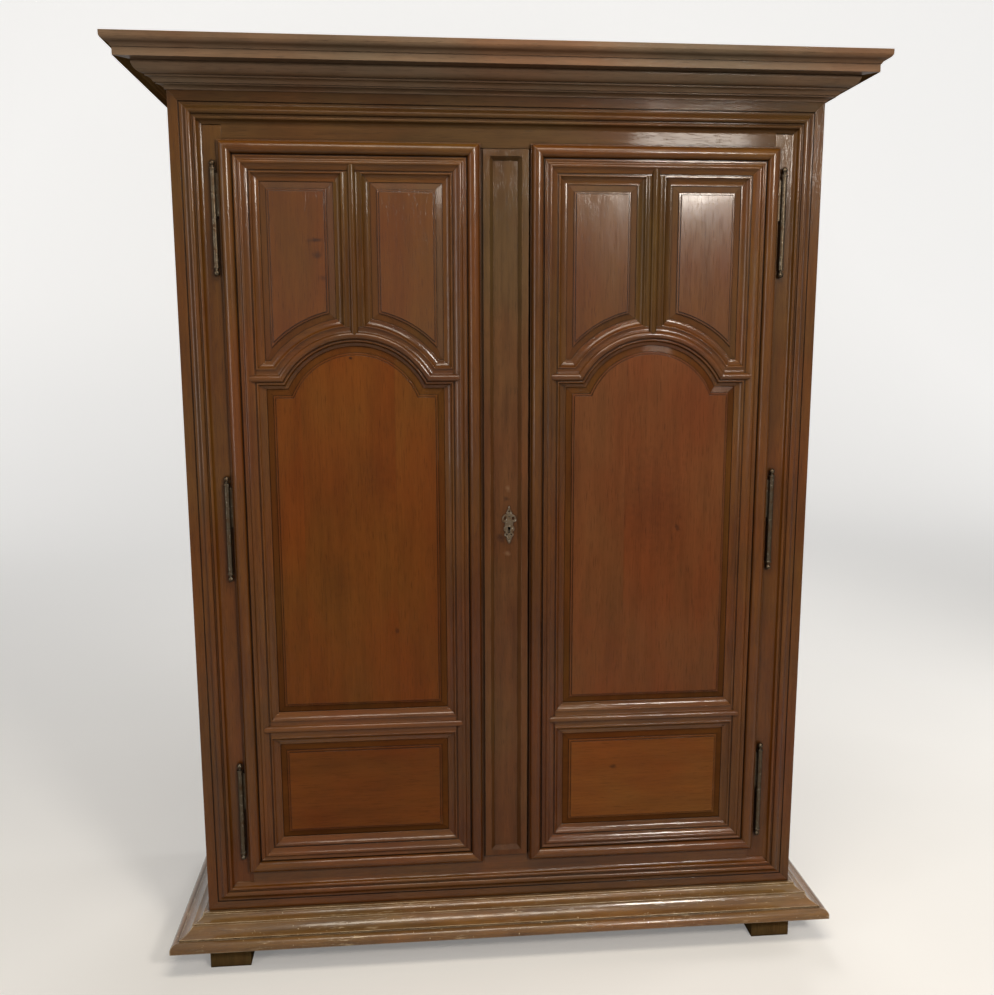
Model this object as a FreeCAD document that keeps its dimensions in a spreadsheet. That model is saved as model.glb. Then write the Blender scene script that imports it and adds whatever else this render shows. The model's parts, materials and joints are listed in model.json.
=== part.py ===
"""Two-door linen cupboard: moulded walnut case, arched door panels, iron pin hinges and four block feet."""
import FreeCAD
import Part
import math
import os
from types import SimpleNamespace

import Sketcher
from FreeCAD import Placement, Rotation, Vector

# Driving dimensions in millimetres, and counts and shares where the name says so.
SIZES = {
    # The case as a whole
    "case_width": 1480,
    "case_depth": 560,
    "foot_height": 75,
    "base_height": 65,
    "frame_width": 102,
    "door_height": 1737,
    "door_drop": 5,
    "cornice_height": 91,
    # Fits and clearances
    "overrun": 10,
    "joint_gap": 0.2,
    "door_gap": 3,
    "lip_gap": 1,
    "lip_overlap": 10,
    "tenon_length": 36,
    "tenon_thickness": 8,
    "tenon_inset": 14,
    # Posts and rails of the case
    "post_depth": 55,
    "back_post_width": 70,
    "side_rail_height": 112,
    "side_mid_rail_height": 90,
    "side_rail_thickness": 24,
    "side_reveal": 6,
    "back_rail_thickness": 24,
    "back_board_thickness": 16,
    "back_board_inset": 4,
    "back_board_gap": 1,
    "back_board_count": 8,
    # Moulding of the front frame, from the outer edge inwards
    "frame_band_width": 22,
    "frame_band_rise": 3.5,
    "frame_groove_width": 3,
    "frame_groove_rise": 1,
    "frame_cove_width": 11,
    "frame_cove_sag": 1.6,
    "frame_torus_width": 14,
    "frame_torus_base": 8,
    "frame_torus_rise": 6,
    "frame_quirk_width": 3,
    "frame_bead_width": 8,
    "frame_bead_rise": 3.5,
    "frame_cavetto_width": 11,
    "frame_cavetto_sag": 2.2,
    # Moulding of the door frames, from the lip's edge inwards
    "lip_thickness": 7,
    "body_depth": 22,
    "torus_margin": 2,
    "torus_width": 28,
    "torus_rise": 12,
    "quirk_width": 3,
    "quirk_depth": 2,
    "fillet_width": 3,
    "fillet_rise": 4,
    "hollow_width": 6,
    "hollow_sag": 1.2,
    "ridge_width": 9,
    "ridge_rise": 2.6,
    "slope_width": 11,
    "slope_drop": 6,
    "slope_sag": 0.8,
    "channel_width": 4,
    "channel_depth": 2,
    # Moulding round each panel
    "arris_width": 3,
    "arris_rise": 3,
    "arris_step": 1.2,
    "cavetto_width": 17,
    "cavetto_drop": 8,
    "cavetto_sag": 2.6,
    "nose_thickness": 1.7,
    "groove_depth": 8,
    # Inner rails and muntin
    "astragal_width": 17,
    "astragal_rise": 7,
    "rail_hollow_width": 12,
    "hollow_share": 0.12,
    "arch_hollow_width": 2,
    "arch_cavetto_width": 10,
    # Raised panels
    "tongue_length": 7,
    "tongue_thickness": 7,
    "bevel_width": 16,
    "bevel_rise": 3,
    "step_rise": 2.5,
    "step_width": 5,
    "field_rise": 2.5,
    # Inner rails of a door: the lower one from its bottom edge, the arch from its top edge
    "mid_rail_level": 369,
    "arch_shoulder_drop": 523.5,
    "arch_shoulder_width": 34.5,
    "arch_rise_share": 0.5735,
    # Cornice, from the case's face outwards and upwards
    "cornice_inset": 30,
    "cornice_start": 5,
    "neck_rise": 3,
    "neck_cove_out": 14,
    "neck_cove_up": 5,
    "neck_cove_sag": 1.6,
    "neck_fillet_out": 4,
    "neck_fillet_up": 3,
    "bed_cove_out": 14,
    "bed_cove_up": 9,
    "bed_cove_sag": 2.6,
    "bed_fillet_out": 5,
    "bed_fillet_up": 4,
    "ovolo_out": 17,
    "ovolo_up": 18,
    "ovolo_bulge": 4,
    "ovolo_fillet_up": 5,
    "soffit_width": 29,
    "corona_up": 17,
    "crown_fillet": 2,
    "crown_cove_out": 9,
    "crown_cove_up": 8,
    "crown_round_out": 9,
    "crown_round_up": 9,
    "crown_sag": 1.6,
    # Base, from the case's face outwards and from its lower edge upwards
    "base_lip_height": 10,
    "base_ovolo_in": 12,
    "base_ovolo_up": 12,
    "base_ovolo_bulge": 3,
    "base_step_in": 7,
    "base_step_up": 4,
    "base_cove_in": 28,
    "base_cove_up": 19,
    "base_cove_sag": 4,
    "base_bead_in": 5,
    "base_bead_up": 5,
    "base_top_cove_in": 17,
    "base_top_cove_up": 10,
    "base_top_cove_sag": 2.4,
    "base_foothold": 13,
    "base_rib_depth": 25,
    # Feet
    "foot_width": 98,
    "foot_side_inset": 2,
    "foot_forward": 25,
    "spigot_radius": 14,
    "spigot_length": 40,
    # Boards inside
    "floor_thickness": 20,
    "floor_drop": 6,
    "board_clearance": 1,
    "batten_width": 20,
    "batten_height": 28,
    "dust_top_thickness": 16,
    "shelf_thickness": 22,
    "shelf_setback": 12,
    "shelf_pitch_share": 0.238,
    # Centre strip on the left door
    "strip_width": 104,
    "strip_margin": 5,
    "strip_rise": 12,
    "strip_bed_rise": 6,
    "strip_border_width": 15,
    "strip_bevel_width": 9,
    "strip_sink_depth": 9,
    "strip_tongue_length": 10,
    # Hinges
    "low_hinge_inset": 163,
    "high_hinge_inset": 169,
    "hinge_offset": 11,
    "hinge_stand": 9,
    "barrel_radius": 6,
    "barrel_length": 104,
    "barrel_gap": 0.5,
    "pin_radius": 3,
    "pin_length": 60,
    "pin_clearance": 0.06,
    "collar_radius": 7.2,
    "collar_height": 4,
    "neck_radius": 3.4,
    "neck_height": 5,
    "ball_radius": 6.5,
    "leaf_thickness": 2.5,
    "leaf_length": 92,
    "leaf_inset": 5,
    "door_leaf_reach": 44,
    "post_leaf_reach": 34,
    # Lock on the left door and keeper on the right door
    "lock_level_share": 0.4922,
    "lock_width": 84,
    "lock_height": 96,
    "lock_depth": 22,
    "lock_end_inset": 2,
    "lock_wall": 3,
    "bolt_rise": 26,
    "key_room_radius": 12,
    "bolt_height": 24,
    "bolt_thickness": 9,
    "bolt_length": 60,
    "bolt_stop_gap": 0.3,
    "lock_throw": 18,
    "keeper_inset": 3,
    "keeper_width": 16,
    "keeper_wall": 4,
    # Escutcheon
    "escutcheon_thickness": 2.4,
    "escutcheon_shift": 8,
    "escutcheon_body_radius": 12,
    "escutcheon_lobe_radius": 7.5,
    "escutcheon_lobe_offset": 9,
    "escutcheon_lobe_level": 17,
    "escutcheon_tip_radius": 6,
    "escutcheon_tip_level": 43,
    "escutcheon_stem_width": 9,
    "escutcheon_eye_radius": 3,
    "escutcheon_point_length": 12,
    "keyhole_radius": 3.5,
    "keyhole_slot_width": 3.4,
    "keyhole_slot_length": 12,
    # Slide bolts of the right door
    "slide_inset": 16,
    "slide_width": 14,
    "slide_thickness": 7,
    "slide_length": 190,
    "slide_throw": 18,
    "slide_stand": 2,
    "slide_knob_radius": 6,
    "slide_knob_length": 16,
    "slide_knob_level": 95,
    "guide_height": 22,
    "guide_wall": 3,
    "guide_first_level": 34,
    "guide_spacing": 112,
}


class Size:
    """A length together with the expression of sheet cells that gives it."""

    def __init__(self, value, text):
        self.value = value
        self.text = text

    def __add__(self, other):
        other = as_size(other)
        return Size(self.value + other.value, f"({self.text} + {other.text})")

    def __sub__(self, other):
        other = as_size(other)
        return Size(self.value - other.value, f"({self.text} - {other.text})")

    def __mul__(self, other):
        other = as_size(other)
        return Size(self.value * other.value, f"({self.text} * {other.text})")

    def __truediv__(self, other):
        other = as_size(other)
        return Size(self.value / other.value, f"({self.text} / {other.text})")

    def __neg__(self):
        return Size(-self.value, f"(-1 * {self.text})")

    def __radd__(self, other):
        return as_size(other) + self

    def __rsub__(self, other):
        return as_size(other) - self

    def __rmul__(self, other):
        return as_size(other) * self

    def root(self):
        return Size(math.sqrt(self.value), f"sqrt({self.text})")


def as_size(value):
    return value if isinstance(value, Size) else Size(float(value), f"{float(value)!r}")


ZERO = as_size(0)

doc = FreeCAD.newDocument("LinenCupboard")
sheet = doc.addObject("Spreadsheet::Sheet", "Sizes")
for row, (alias, number) in enumerate(SIZES.items(), start=1):
    sheet.set(f"A{row}", alias)
    sheet.set(f"B{row}", str(number))
    sheet.setAlias(f"B{row}", alias)
doc.recompute()
s = SimpleNamespace(**{alias: Size(float(sheet.get(alias)), f"Sizes.{alias}") for alias in SIZES})

# Directions in which a profile drawn flat is stretched
UPRIGHT = Rotation()
ACROSS = Rotation(Vector(0, 1, 0), 90)
ACROSS_RISING = Rotation(Vector(1, 1, 1), 120)
FORWARD_RISING = Rotation(Vector(1, 0, 0), 90)
UPRIGHT_SIDE = Rotation(Vector(0, 0, 1), -90)
BACKWARD_SIDE = Rotation(Vector(1, 1, 1), -120)
ACROSS_UPWARD = Rotation(Vector(0, 0, 1), Vector(0, 1, 0), Vector(-1, 0, 0), "XYZ")

# Directions of a wedge: its two sloping ends, its tapering length, its depth
UPRIGHT_MITRE = Rotation(Vector(0, 0, 1), Vector(1, 0, 0), Vector(0, 1, 0), "XYZ")
LEVEL_MITRE = Rotation(Vector(1, 0, 0), Vector(0, 0, -1), Vector(0, 1, 0), "XYZ")
RISING_MITRE = Rotation(Vector(1, 0, 0), Vector(0, 0, 1), Vector(0, -1, 0), "XYZ")
SIDE_MITRE = Rotation(Vector(0, -1, 0), Vector(1, 0, 0), Vector(0, 0, 1), "XYZ")

X_NORMAL = Vector(1, 0, 0)
Z_NORMAL = Vector(0, 0, 1)

nodes = []


def node(label, solid):
    """Name a finished sub-part."""
    solid.Label = label
    nodes.append(solid)
    return solid


def place(thing, x, y, z, rotation=UPRIGHT):
    corner = [as_size(value) for value in (x, y, z)]
    thing.Placement = Placement(Vector(*(value.value for value in corner)), rotation)
    for axis, value in zip("xyz", corner):
        thing.setExpression(f"Placement.Base.{axis}", value.text)


def box(low, high):
    """A block between two opposite corners."""
    block = doc.addObject("Part::Box", "Block")
    for side, start, end in zip(("Length", "Width", "Height"), low, high):
        block.setExpression(side, (as_size(end) - start).text)
    place(block, *low)
    return block


def grown(low, high, gap):
    """The room that a tenon between two corners needs."""
    return box([as_size(value) - gap for value in low], [as_size(value) + gap for value in high])


def rod(radius, length, x, y, z, rotation=UPRIGHT):
    bar = doc.addObject("Part::Cylinder", "Rod")
    bar.setExpression("Radius", radius.text)
    bar.setExpression("Height", length.text)
    place(bar, x, y, z, rotation)
    return bar


def wedge(near, far, depth, length, x, y, z, rotation):
    """A block whose ends change evenly over its length, from the near reach to the far reach each way."""
    near_low, near_high = near if isinstance(near, tuple) else (near, near)
    far_low, far_high = far if isinstance(far, tuple) else (far, far)
    block = doc.addObject("Part::Wedge", "Wedge")
    spans = {"Xmin": -near_low, "Xmax": near_high, "X2min": -far_low, "X2max": far_high, "Ymin": ZERO,
             "Ymax": length, "Zmin": ZERO, "Zmax": depth, "Z2min": ZERO, "Z2max": depth}
    for name, value in spans.items():
        block.setExpression(name, value.text)
    place(block, x, y, z, rotation)
    return block


def combined(kind, solids):
    whole = doc.addObject(kind, "Joined")
    whole.Shapes = list(solids)
    return whole


def fuse(*solids):
    return combined("Part::MultiFuse", solids)


def common(*solids):
    return combined("Part::MultiCommon", solids)


def cut(base, *tools):
    remainder = doc.addObject("Part::Cut", "Trimmed")
    remainder.Base = base
    remainder.Tool = tools[0] if len(tools) == 1 else fuse(*tools)
    return remainder


def group(*solids):
    """Separate solids that share one sub-part."""
    several = doc.addObject("Part::Compound", "Group")
    several.Links = list(solids)
    return several


def mirrored(solid, normal, middle=ZERO):
    twin = doc.addObject("Part::Mirroring", "Twin")
    twin.Source = solid
    twin.Normal = normal
    twin.setExpression("Base.x" if normal == X_NORMAL else "Base.z", middle.text)
    return twin


def drawn(body, outline):
    """A closed sketch. Each corner is (x, y), or (x, y, bulge) where an arc leads to it."""
    sketch = body.newObject("Sketcher::SketchObject", "Outline")
    plane = next(item for item in body.Origin.OriginFeatures if item.Role == "XY_Plane")
    sketch.AttachmentSupport = [(plane, "")]
    sketch.MapMode = "FlatFace"
    corners = [tuple(as_size(value) for value in corner) for corner in outline]
    bindings = []
    for place_in_line, corner in enumerate(corners):
        start = Vector(*(value.value for value in corners[place_in_line - 1][:2]))
        end = Vector(*(value.value for value in corner[:2]))
        if len(corner) == 2:
            sketch.addGeometry(Part.LineSegment(start, end))
            continue
        chord = end - start
        aside = Vector(-chord.y, chord.x).normalize() * corner[2].value
        sketch.addGeometry(Part.Arc(start, (start + end) / 2 + aside, end))
    ends = []
    for index in range(len(corners)):
        start = Vector(*(value.value for value in corners[index - 1][:2]))
        forward = sketch.getPoint(index, 1).isEqual(start, s.joint_gap.value * s.joint_gap.value)
        ends.append((1, 2) if forward else (2, 1))
    constraints = []
    for index, corner in enumerate(corners):
        following = (index + 1) % len(corners)
        joint = (index, ends[index][1], following, ends[following][0])
        constraints.append(Sketcher.Constraint("Coincident", *joint))
        for kind, value in zip(("DistanceX", "DistanceY"), corner):
            bindings.append((len(constraints), value))
            constraints.append(Sketcher.Constraint(kind, -1, 1, index, ends[index][1], value.value))
        if len(corner) == 3:
            run, rise = (end - start for start, end in zip(corners[index - 1][:2], corner[:2]))
            bulge = corner[2] if corner[2].value > 0 else -corner[2]
            radius = ((run * run + rise * rise) / 4 + bulge * bulge) / (2 * bulge)
            bindings.append((len(constraints), radius))
            constraints.append(Sketcher.Constraint("Radius", index, radius.value))
    sketch.addConstraint(constraints)
    for index, value in bindings:
        sketch.setExpression(f"Constraints[{index}]", value.text)
    return sketch


def stretched(outline, length, x, y, z, rotation):
    """A bar of one outline."""
    body = doc.addObject("PartDesign::Body", "Bar")
    sketch = drawn(body, outline)
    pad = body.newObject("PartDesign::Pad", "Stretch")
    pad.Profile = sketch
    pad.setExpression("Length", length.text)
    place(body, x, y, z, rotation)
    return body


def turned(outline, x, y, z, rotation=UPRIGHT):
    """A piece turned about the upright axis of its outline."""
    body = doc.addObject("PartDesign::Body", "Turning")
    sketch = drawn(body, outline)
    turning = body.newObject("PartDesign::Revolution", "Turn")
    turning.Profile = sketch
    turning.ReferenceAxis = (sketch, ["V_Axis"])
    turning.Angle = 360
    place(body, x, y, z, rotation)
    return body


# Levels and planes that the pieces share
half = s.case_width / 2
cornice_projection = (s.cornice_start + s.neck_cove_out + s.neck_fillet_out + s.bed_cove_out
                      + s.bed_fillet_out + s.ovolo_out + s.soffit_width + s.crown_fillet
                      + s.crown_cove_out + s.crown_round_out)
front = (cornice_projection - s.case_depth) / 2
back = front + s.case_depth
case_low = s.foot_height + s.base_height
door_low = case_low + s.frame_width - s.door_drop
door_top = door_low + s.door_height
case_top = door_top + s.frame_width
post_width = s.frame_width + s.lip_overlap
open_half = half - post_width
open_low = case_low + s.frame_width + s.lip_overlap
open_top = door_top - s.lip_overlap
mid_height = (case_low + case_top) / 2
post_back = front + s.post_depth
lip_edge = half - s.frame_width
meeting_edge = s.strip_width / 2 + s.strip_margin
door_width = lip_edge - meeting_edge
door_middle = -(lip_edge + meeting_edge) / 2
door_half = door_width / 2
door_back = front + s.body_depth

# Depths below the crest of the door's outer round
crest = s.lip_gap + s.lip_thickness + s.torus_rise
crest_plane = front - crest
round_foot = s.torus_rise
fillet_top = round_foot + s.quirk_depth - s.fillet_rise
slope_foot = fillet_top + s.slope_drop
channel_floor = slope_foot + s.channel_depth
arris_top = channel_floor - s.arris_rise
cavetto_foot = arris_top + s.arris_step + s.cavetto_drop
groove_front = cavetto_foot + s.nose_thickness
groove_back = groove_front + s.tongue_thickness + 2 * s.joint_gap
frame_back = crest + s.body_depth
channel_start = (s.torus_margin + s.torus_width + s.quirk_width + s.fillet_width + s.hollow_width
                 + s.ridge_width + s.slope_width)
stile_width = channel_start + s.channel_width + s.arris_width + s.cavetto_width
astragal_half = s.astragal_width / 2
rail_half = astragal_half + s.rail_hollow_width + s.arris_width + s.cavetto_width
arch_lower_half = astragal_half + s.arch_hollow_width + s.arris_width + s.arch_cavetto_width


def running(start, steps):
    """Corners reached one after another by steps of (run, rise) or (run, rise, bulge)."""
    corners = [start]
    for step in steps:
        x, y = corners[-1][:2]
        corners.append((x + step[0], y + step[1]) + tuple(step[2:]))
    return corners


def frame_moulding():
    """Front frame's moulding, from the case's edge inwards, standing on the flat of the posts."""
    tallest = s.frame_torus_base + s.frame_torus_rise
    band = tallest - s.frame_band_rise
    round_base = tallest - s.frame_torus_base
    groove = tallest - s.frame_groove_rise
    outline = running((ZERO, band), [
        (s.frame_band_width, ZERO),
        (ZERO, groove - band),
        (s.frame_groove_width, ZERO),
        (ZERO, band - groove),
        (s.frame_cove_width, round_base - band, s.frame_cove_sag),
        (s.frame_torus_width, ZERO, -s.frame_torus_rise),
        (s.frame_quirk_width, ZERO),
        (s.frame_bead_width, ZERO, -s.frame_bead_rise),
        (s.frame_cavetto_width, tallest - round_base, s.frame_cavetto_sag),
    ])
    return outline + [(ZERO, tallest)]


def panel_side(start, hollow, cavetto):
    """Rail moulding from the astragal's foot out to the groove that takes a panel's tongue."""
    return running(start, [
        (hollow, ZERO, hollow * s.hollow_share),
        (ZERO, arris_top - start[1]),
        (s.arris_width, ZERO),
        (ZERO, s.arris_step),
        (cavetto, s.cavetto_drop, s.cavetto_sag),
        (ZERO, s.nose_thickness),
        (-s.groove_depth, ZERO),
        (ZERO, groove_back - groove_front),
        (s.groove_depth, ZERO),
        (ZERO, frame_back - groove_back),
    ])


def door_frame_outline():
    """Section of a door's outer frame, from the lip's edge inwards and from the crest backwards."""
    outline = running((ZERO, round_foot), [
        (s.torus_margin, ZERO),
        (s.torus_width, ZERO, -s.torus_rise),
        (ZERO, s.quirk_depth),
        (s.quirk_width, ZERO),
        (ZERO, -s.fillet_rise),
        (s.fillet_width, ZERO),
        (s.hollow_width, ZERO, s.hollow_sag),
        (s.ridge_width, ZERO, -s.ridge_rise),
        (s.slope_width, s.slope_drop, s.slope_sag),
        (ZERO, s.channel_depth),
    ])
    inner = panel_side(outline[-1], s.channel_width, s.cavetto_width)
    inner[1] = inner[1][:2]
    return outline + inner[1:] + [(ZERO, frame_back)]


def rail_outline(lower_hollow, lower_cavetto):
    """Section of an inner rail, measured from its lower edge, with an astragal along it."""
    foot = slope_foot
    lower = astragal_half + lower_hollow + s.arris_width + lower_cavetto
    upper_side = panel_side((lower + astragal_half, foot), s.rail_hollow_width, s.cavetto_width)
    lower_side = panel_side((lower - astragal_half, foot), lower_hollow, lower_cavetto)
    turned_back = [(2 * (lower - astragal_half) - corner[0],) + tuple(corner[1:]) for corner in lower_side]
    corners = [corner[:2] for corner in reversed(turned_back)]
    bulges = [corner[2:] for corner in reversed(turned_back)]
    lower_corners = [corners[0]]
    for corner, bulge in zip(corners[1:], bulges):
        lower_corners.append(corner + bulge)
    lower_corners.append((lower + astragal_half, foot, -s.astragal_rise))
    return lower_corners + upper_side[1:]


def panel_outline(width):
    """Section across a raised panel, from the tip of one tongue to the other, behind its field."""
    bevel_top = s.field_rise + s.step_rise
    bevel_foot = bevel_top + s.bevel_rise
    panel_back = bevel_foot + s.tongue_thickness
    whole = width + 2 * s.tongue_length
    near = running((ZERO, panel_back), [
        (ZERO, -s.tongue_thickness),
        (s.tongue_length, ZERO),
        (s.bevel_width, -s.bevel_rise),
        (ZERO, -s.step_rise),
        (s.step_width, ZERO),
        (ZERO, -s.field_rise),
    ])
    far = [(whole - x, y) for x, y in reversed(near)]
    return near + far


def panel_rim_outline(radius, inwards):
    """Section of a panel whose edge is round, as it is turned about the arch's centre."""
    section = panel_outline(4 * (radius + s.tongue_length))[:7]
    if inwards:
        section = [(radius + s.tongue_length - x, y) for x, y in section]
        return section + [(ZERO, section[-1][1]), (ZERO, section[0][1])]
    section = [(radius - s.tongue_length + x, y) for x, y in section]
    reach = 3 * radius
    return section + [(reach, section[-1][1]), (reach, section[0][1])]


panel_depth = s.field_rise + s.step_rise + s.bevel_rise
field_plane = crest_plane + groove_front + s.joint_gap - panel_depth


def case_front():
    """Front posts and rails with the mitred moulding worked on their faces."""
    tallest = s.frame_torus_base + s.frame_torus_rise
    face = front - tallest
    width = (s.frame_band_width + s.frame_groove_width + s.frame_cove_width + s.frame_torus_width
             + s.frame_quirk_width + s.frame_bead_width + s.frame_cavetto_width)
    length = case_top - case_low
    upright = stretched(frame_moulding(), length, -half, face, case_low, UPRIGHT)
    post_moulding = common(upright, wedge(length / 2, length / 2 - width, tallest, width,
                                          -half, face, mid_height, UPRIGHT_MITRE))
    level = stretched(frame_moulding(), s.case_width, -half, face, case_top, ACROSS)
    rail_moulding = common(level, wedge(half, half - width, tallest, width,
                                        ZERO, face, case_top, LEVEL_MITRE))
    post = fuse(box((-half, front, s.foot_height), (-open_half, post_back, case_top)), post_moulding)
    rail_low = (-open_half, front, open_top)
    rail = fuse(box(rail_low, (open_half, post_back, case_top)), rail_moulding)
    return post, rail


def front_tenons():
    """Corners of the tenon at the left end of the front top rail."""
    low = (-open_half - s.tenon_length, front + s.tenon_inset, open_top + s.tenon_inset)
    high = (-open_half, front + s.tenon_inset + s.tenon_thickness, case_top - s.tenon_inset)
    return low, high


def foot_spigot(x, y, gap):
    return rod(s.spigot_radius + gap, s.spigot_length + s.overrun + gap, x, y, s.foot_height - s.overrun)


side_outer = half - s.side_reveal
side_inner = side_outer - s.side_rail_thickness
back_post_front = back - s.post_depth
side_rail_levels = [
    (case_low, case_low + s.side_rail_height),
    (mid_height - s.side_mid_rail_height / 2, mid_height + s.side_mid_rail_height / 2),
    (case_top - s.side_rail_height, case_top),
]
side_groove_front = s.side_reveal + panel_depth
panel_back_depth = panel_depth + s.tongue_thickness


def side_tenons():
    """Tenons of the left side's rails, a front and a back one for each."""
    outer = -side_outer + s.tenon_inset
    for low, high in side_rail_levels:
        for start, end in ((post_back - s.tenon_length, post_back),
                           (back_post_front, back_post_front + s.tenon_length)):
            yield ((outer, start, low + s.tenon_inset),
                   (outer + s.tenon_thickness, end, high - s.tenon_inset))


def side_panel_grooves():
    """Grooves for the tongues of the left side's panels, one in each post."""
    low_edge = side_rail_levels[0][1]
    high_edge = side_rail_levels[2][0]
    tongue = -side_outer + panel_depth
    for start, end in ((post_back - s.groove_depth, post_back),
                       (back_post_front, back_post_front + s.groove_depth)):
        yield box((tongue - s.joint_gap, start, low_edge - s.groove_depth),
                  (tongue + s.tongue_thickness + s.joint_gap, end, high_edge + s.groove_depth))


def hinge_levels():
    lowest = door_low + s.low_hinge_inset
    highest = door_top - s.high_hinge_inset
    return lowest, (lowest + highest) / 2, highest


hinge_x = -lip_edge - s.hinge_offset
hinge_y = front - s.hinge_stand
door_leaf_y = front - s.lip_gap - s.lip_thickness / 2 - s.leaf_thickness / 2


def door_leaf(level):
    low = (hinge_x, door_leaf_y, level + s.leaf_inset)
    high = (hinge_x + s.door_leaf_reach, door_leaf_y + s.leaf_thickness, level + s.leaf_inset + s.leaf_length)
    return low, high


def post_leaf(level):
    low = (hinge_x - s.leaf_thickness / 2, hinge_y, level - s.leaf_inset - s.leaf_length)
    high = (hinge_x + s.leaf_thickness / 2, front + s.post_leaf_reach, level - s.leaf_inset)
    return low, high


def hinge_half_outline(bored):
    """Half section of a knuckle with its collar and ball finial, from the joint outwards."""
    ball = s.ball_radius
    seat = s.barrel_length + s.collar_height + s.neck_height
    dip = (ball * ball - s.neck_radius * s.neck_radius).root()
    tip = seat + dip + ball
    bore = s.pin_radius + s.pin_clearance
    if bored:
        bore_end = s.pin_length + s.pin_clearance + s.barrel_gap
        inner = [(ZERO, bore_end), (bore, bore_end), (bore, s.barrel_gap)]
    else:
        inner = [(ZERO, -s.pin_length), (s.pin_radius, -s.pin_length), (s.pin_radius, ZERO)]
    start = s.barrel_gap if bored else ZERO
    return inner + [
        (s.barrel_radius, start),
        (s.barrel_radius, s.barrel_length),
        (s.collar_radius, s.barrel_length),
        (s.collar_radius, s.barrel_length + s.collar_height),
        (s.neck_radius, s.barrel_length + s.collar_height),
        (s.neck_radius, seat),
        (ball, seat + dip, ((ball * ball + ball * s.neck_radius) / 2).root() - ball),
        (ZERO, tip, -(ball - ball / as_size(2).root())),
    ]


def left_hinges():
    doors = []
    posts = []
    for level in hinge_levels():
        knuckle = turned(hinge_half_outline(True), hinge_x, hinge_y, level, FORWARD_RISING)
        doors.append(cut(fuse(knuckle, box(*door_leaf(level))),
                         rod(s.pin_radius + s.pin_clearance, s.pin_length, hinge_x, hinge_y, level)))
        pintle = turned(hinge_half_outline(False), hinge_x, hinge_y, level, Rotation(X_NORMAL, -90))
        posts.append(fuse(pintle, box(*post_leaf(level))))
    return group(*doors), group(*posts)


# Case: front posts and rails
post_blank, top_rail_blank = case_front()
tenon = front_tenons()
bolt_x = meeting_edge + s.slide_inset + s.slide_width / 2
bolt_y = door_back + s.slide_stand
bolt_room = grown((bolt_x - s.slide_width / 2, bolt_y, open_top - s.overrun),
                  (bolt_x + s.slide_width / 2, bolt_y + s.slide_thickness, open_top + s.slide_throw),
                  s.barrel_gap)
rail_tenons = [box(*tenon), mirrored(box(*tenon), X_NORMAL)]
top_rail = node("front_top_rail", cut(fuse(top_rail_blank, *rail_tenons), bolt_room))
node("front_bottom_rail", mirrored(top_rail, Z_NORMAL, mid_height))
front_post_x = -half + post_width / 2
front_post_y = front + s.post_depth / 2
left_front_post = node("left_front_post", cut(
    post_blank,
    grown(*tenon, s.joint_gap),
    mirrored(grown(*tenon, s.joint_gap), Z_NORMAL, mid_height),
    *(grown(low, high, s.joint_gap) for low, high in side_tenons()),
    *side_panel_grooves(),
    *(grown(*post_leaf(level), s.joint_gap) for level in hinge_levels()),
    foot_spigot(front_post_x, front_post_y, s.joint_gap),
))
node("right_front_post", mirrored(left_front_post, X_NORMAL))

# Case: back posts, side rails and back rails
back_post_x = -half + s.back_post_width / 2
back_post_y = back - s.post_depth / 2
back_rail_y = back - s.back_board_inset - s.back_board_thickness - s.back_rail_thickness
back_half = half - s.back_post_width


def back_tenon(low_edge):
    low = (-back_half - s.tenon_length, back_rail_y + s.tenon_thickness, low_edge + s.tenon_inset)
    high = (-back_half, low[1] + s.tenon_thickness, low_edge + s.side_rail_height - s.tenon_inset)
    return low, high


back_rail_lows = (case_low, case_top - s.side_rail_height)
left_back_post = node("left_back_post", cut(
    box((-half, back_post_front, s.foot_height), (-back_half, back, case_top)),
    *(grown(*back_tenon(low_edge), s.joint_gap) for low_edge in back_rail_lows),
    *(grown(low, high, s.joint_gap) for low, high in side_tenons()),
    *side_panel_grooves(),
    foot_spigot(back_post_x, back_post_y, s.joint_gap),
))
node("right_back_post", mirrored(left_back_post, X_NORMAL))
for label, low_edge in zip(("back_bottom_rail", "back_top_rail"), back_rail_lows):
    rail = box((-back_half, back_rail_y, low_edge),
               (back_half, back_rail_y + s.back_rail_thickness, low_edge + s.side_rail_height))
    tenons = box(*back_tenon(low_edge)), mirrored(box(*back_tenon(low_edge)), X_NORMAL)
    node(label, fuse(rail, *tenons))


def side_rails():
    """Three rails of the left side, grooved for the panels between them."""
    tenons = list(side_tenons())
    tongue = -side_outer + panel_depth
    grooves = {0: ["high"], 1: ["low", "high"], 2: ["low"]}
    for index, (low, high) in enumerate(side_rail_levels):
        rail = box((-side_outer, post_back, low), (-side_inner, back_post_front, high))
        whole = fuse(rail, *(box(*tenons[2 * index + end]) for end in range(2)))
        tools = []
        for edge in grooves[index]:
            start, end = (low, low + s.groove_depth) if edge == "low" else (high - s.groove_depth, high)
            tools.append(box((tongue - s.joint_gap, post_back, start),
                             (tongue + s.tongue_thickness + s.joint_gap, back_post_front, end)))
        yield cut(whole, *tools)


def side_panels():
    """Two raised panels of the left side."""
    width = back_post_front - post_back
    for (_, low), (high, _) in zip(side_rail_levels, side_rail_levels[1:]):
        across = stretched(panel_outline(width), high - low + 2 * s.tongue_length, -side_outer,
                           back_post_front + s.tongue_length, low - s.tongue_length, UPRIGHT_SIDE)
        along = stretched(panel_outline(high - low), width + 2 * s.tongue_length, -side_outer,
                          post_back - s.tongue_length, low - s.tongue_length, BACKWARD_SIDE)
        yield common(across, along)


left_rails = node("left_side_rails", group(*side_rails()))
node("right_side_rails", mirrored(left_rails, X_NORMAL))
left_panels = node("left_side_panels", group(*side_panels()))
node("right_side_panels", mirrored(left_panels, X_NORMAL))


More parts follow.
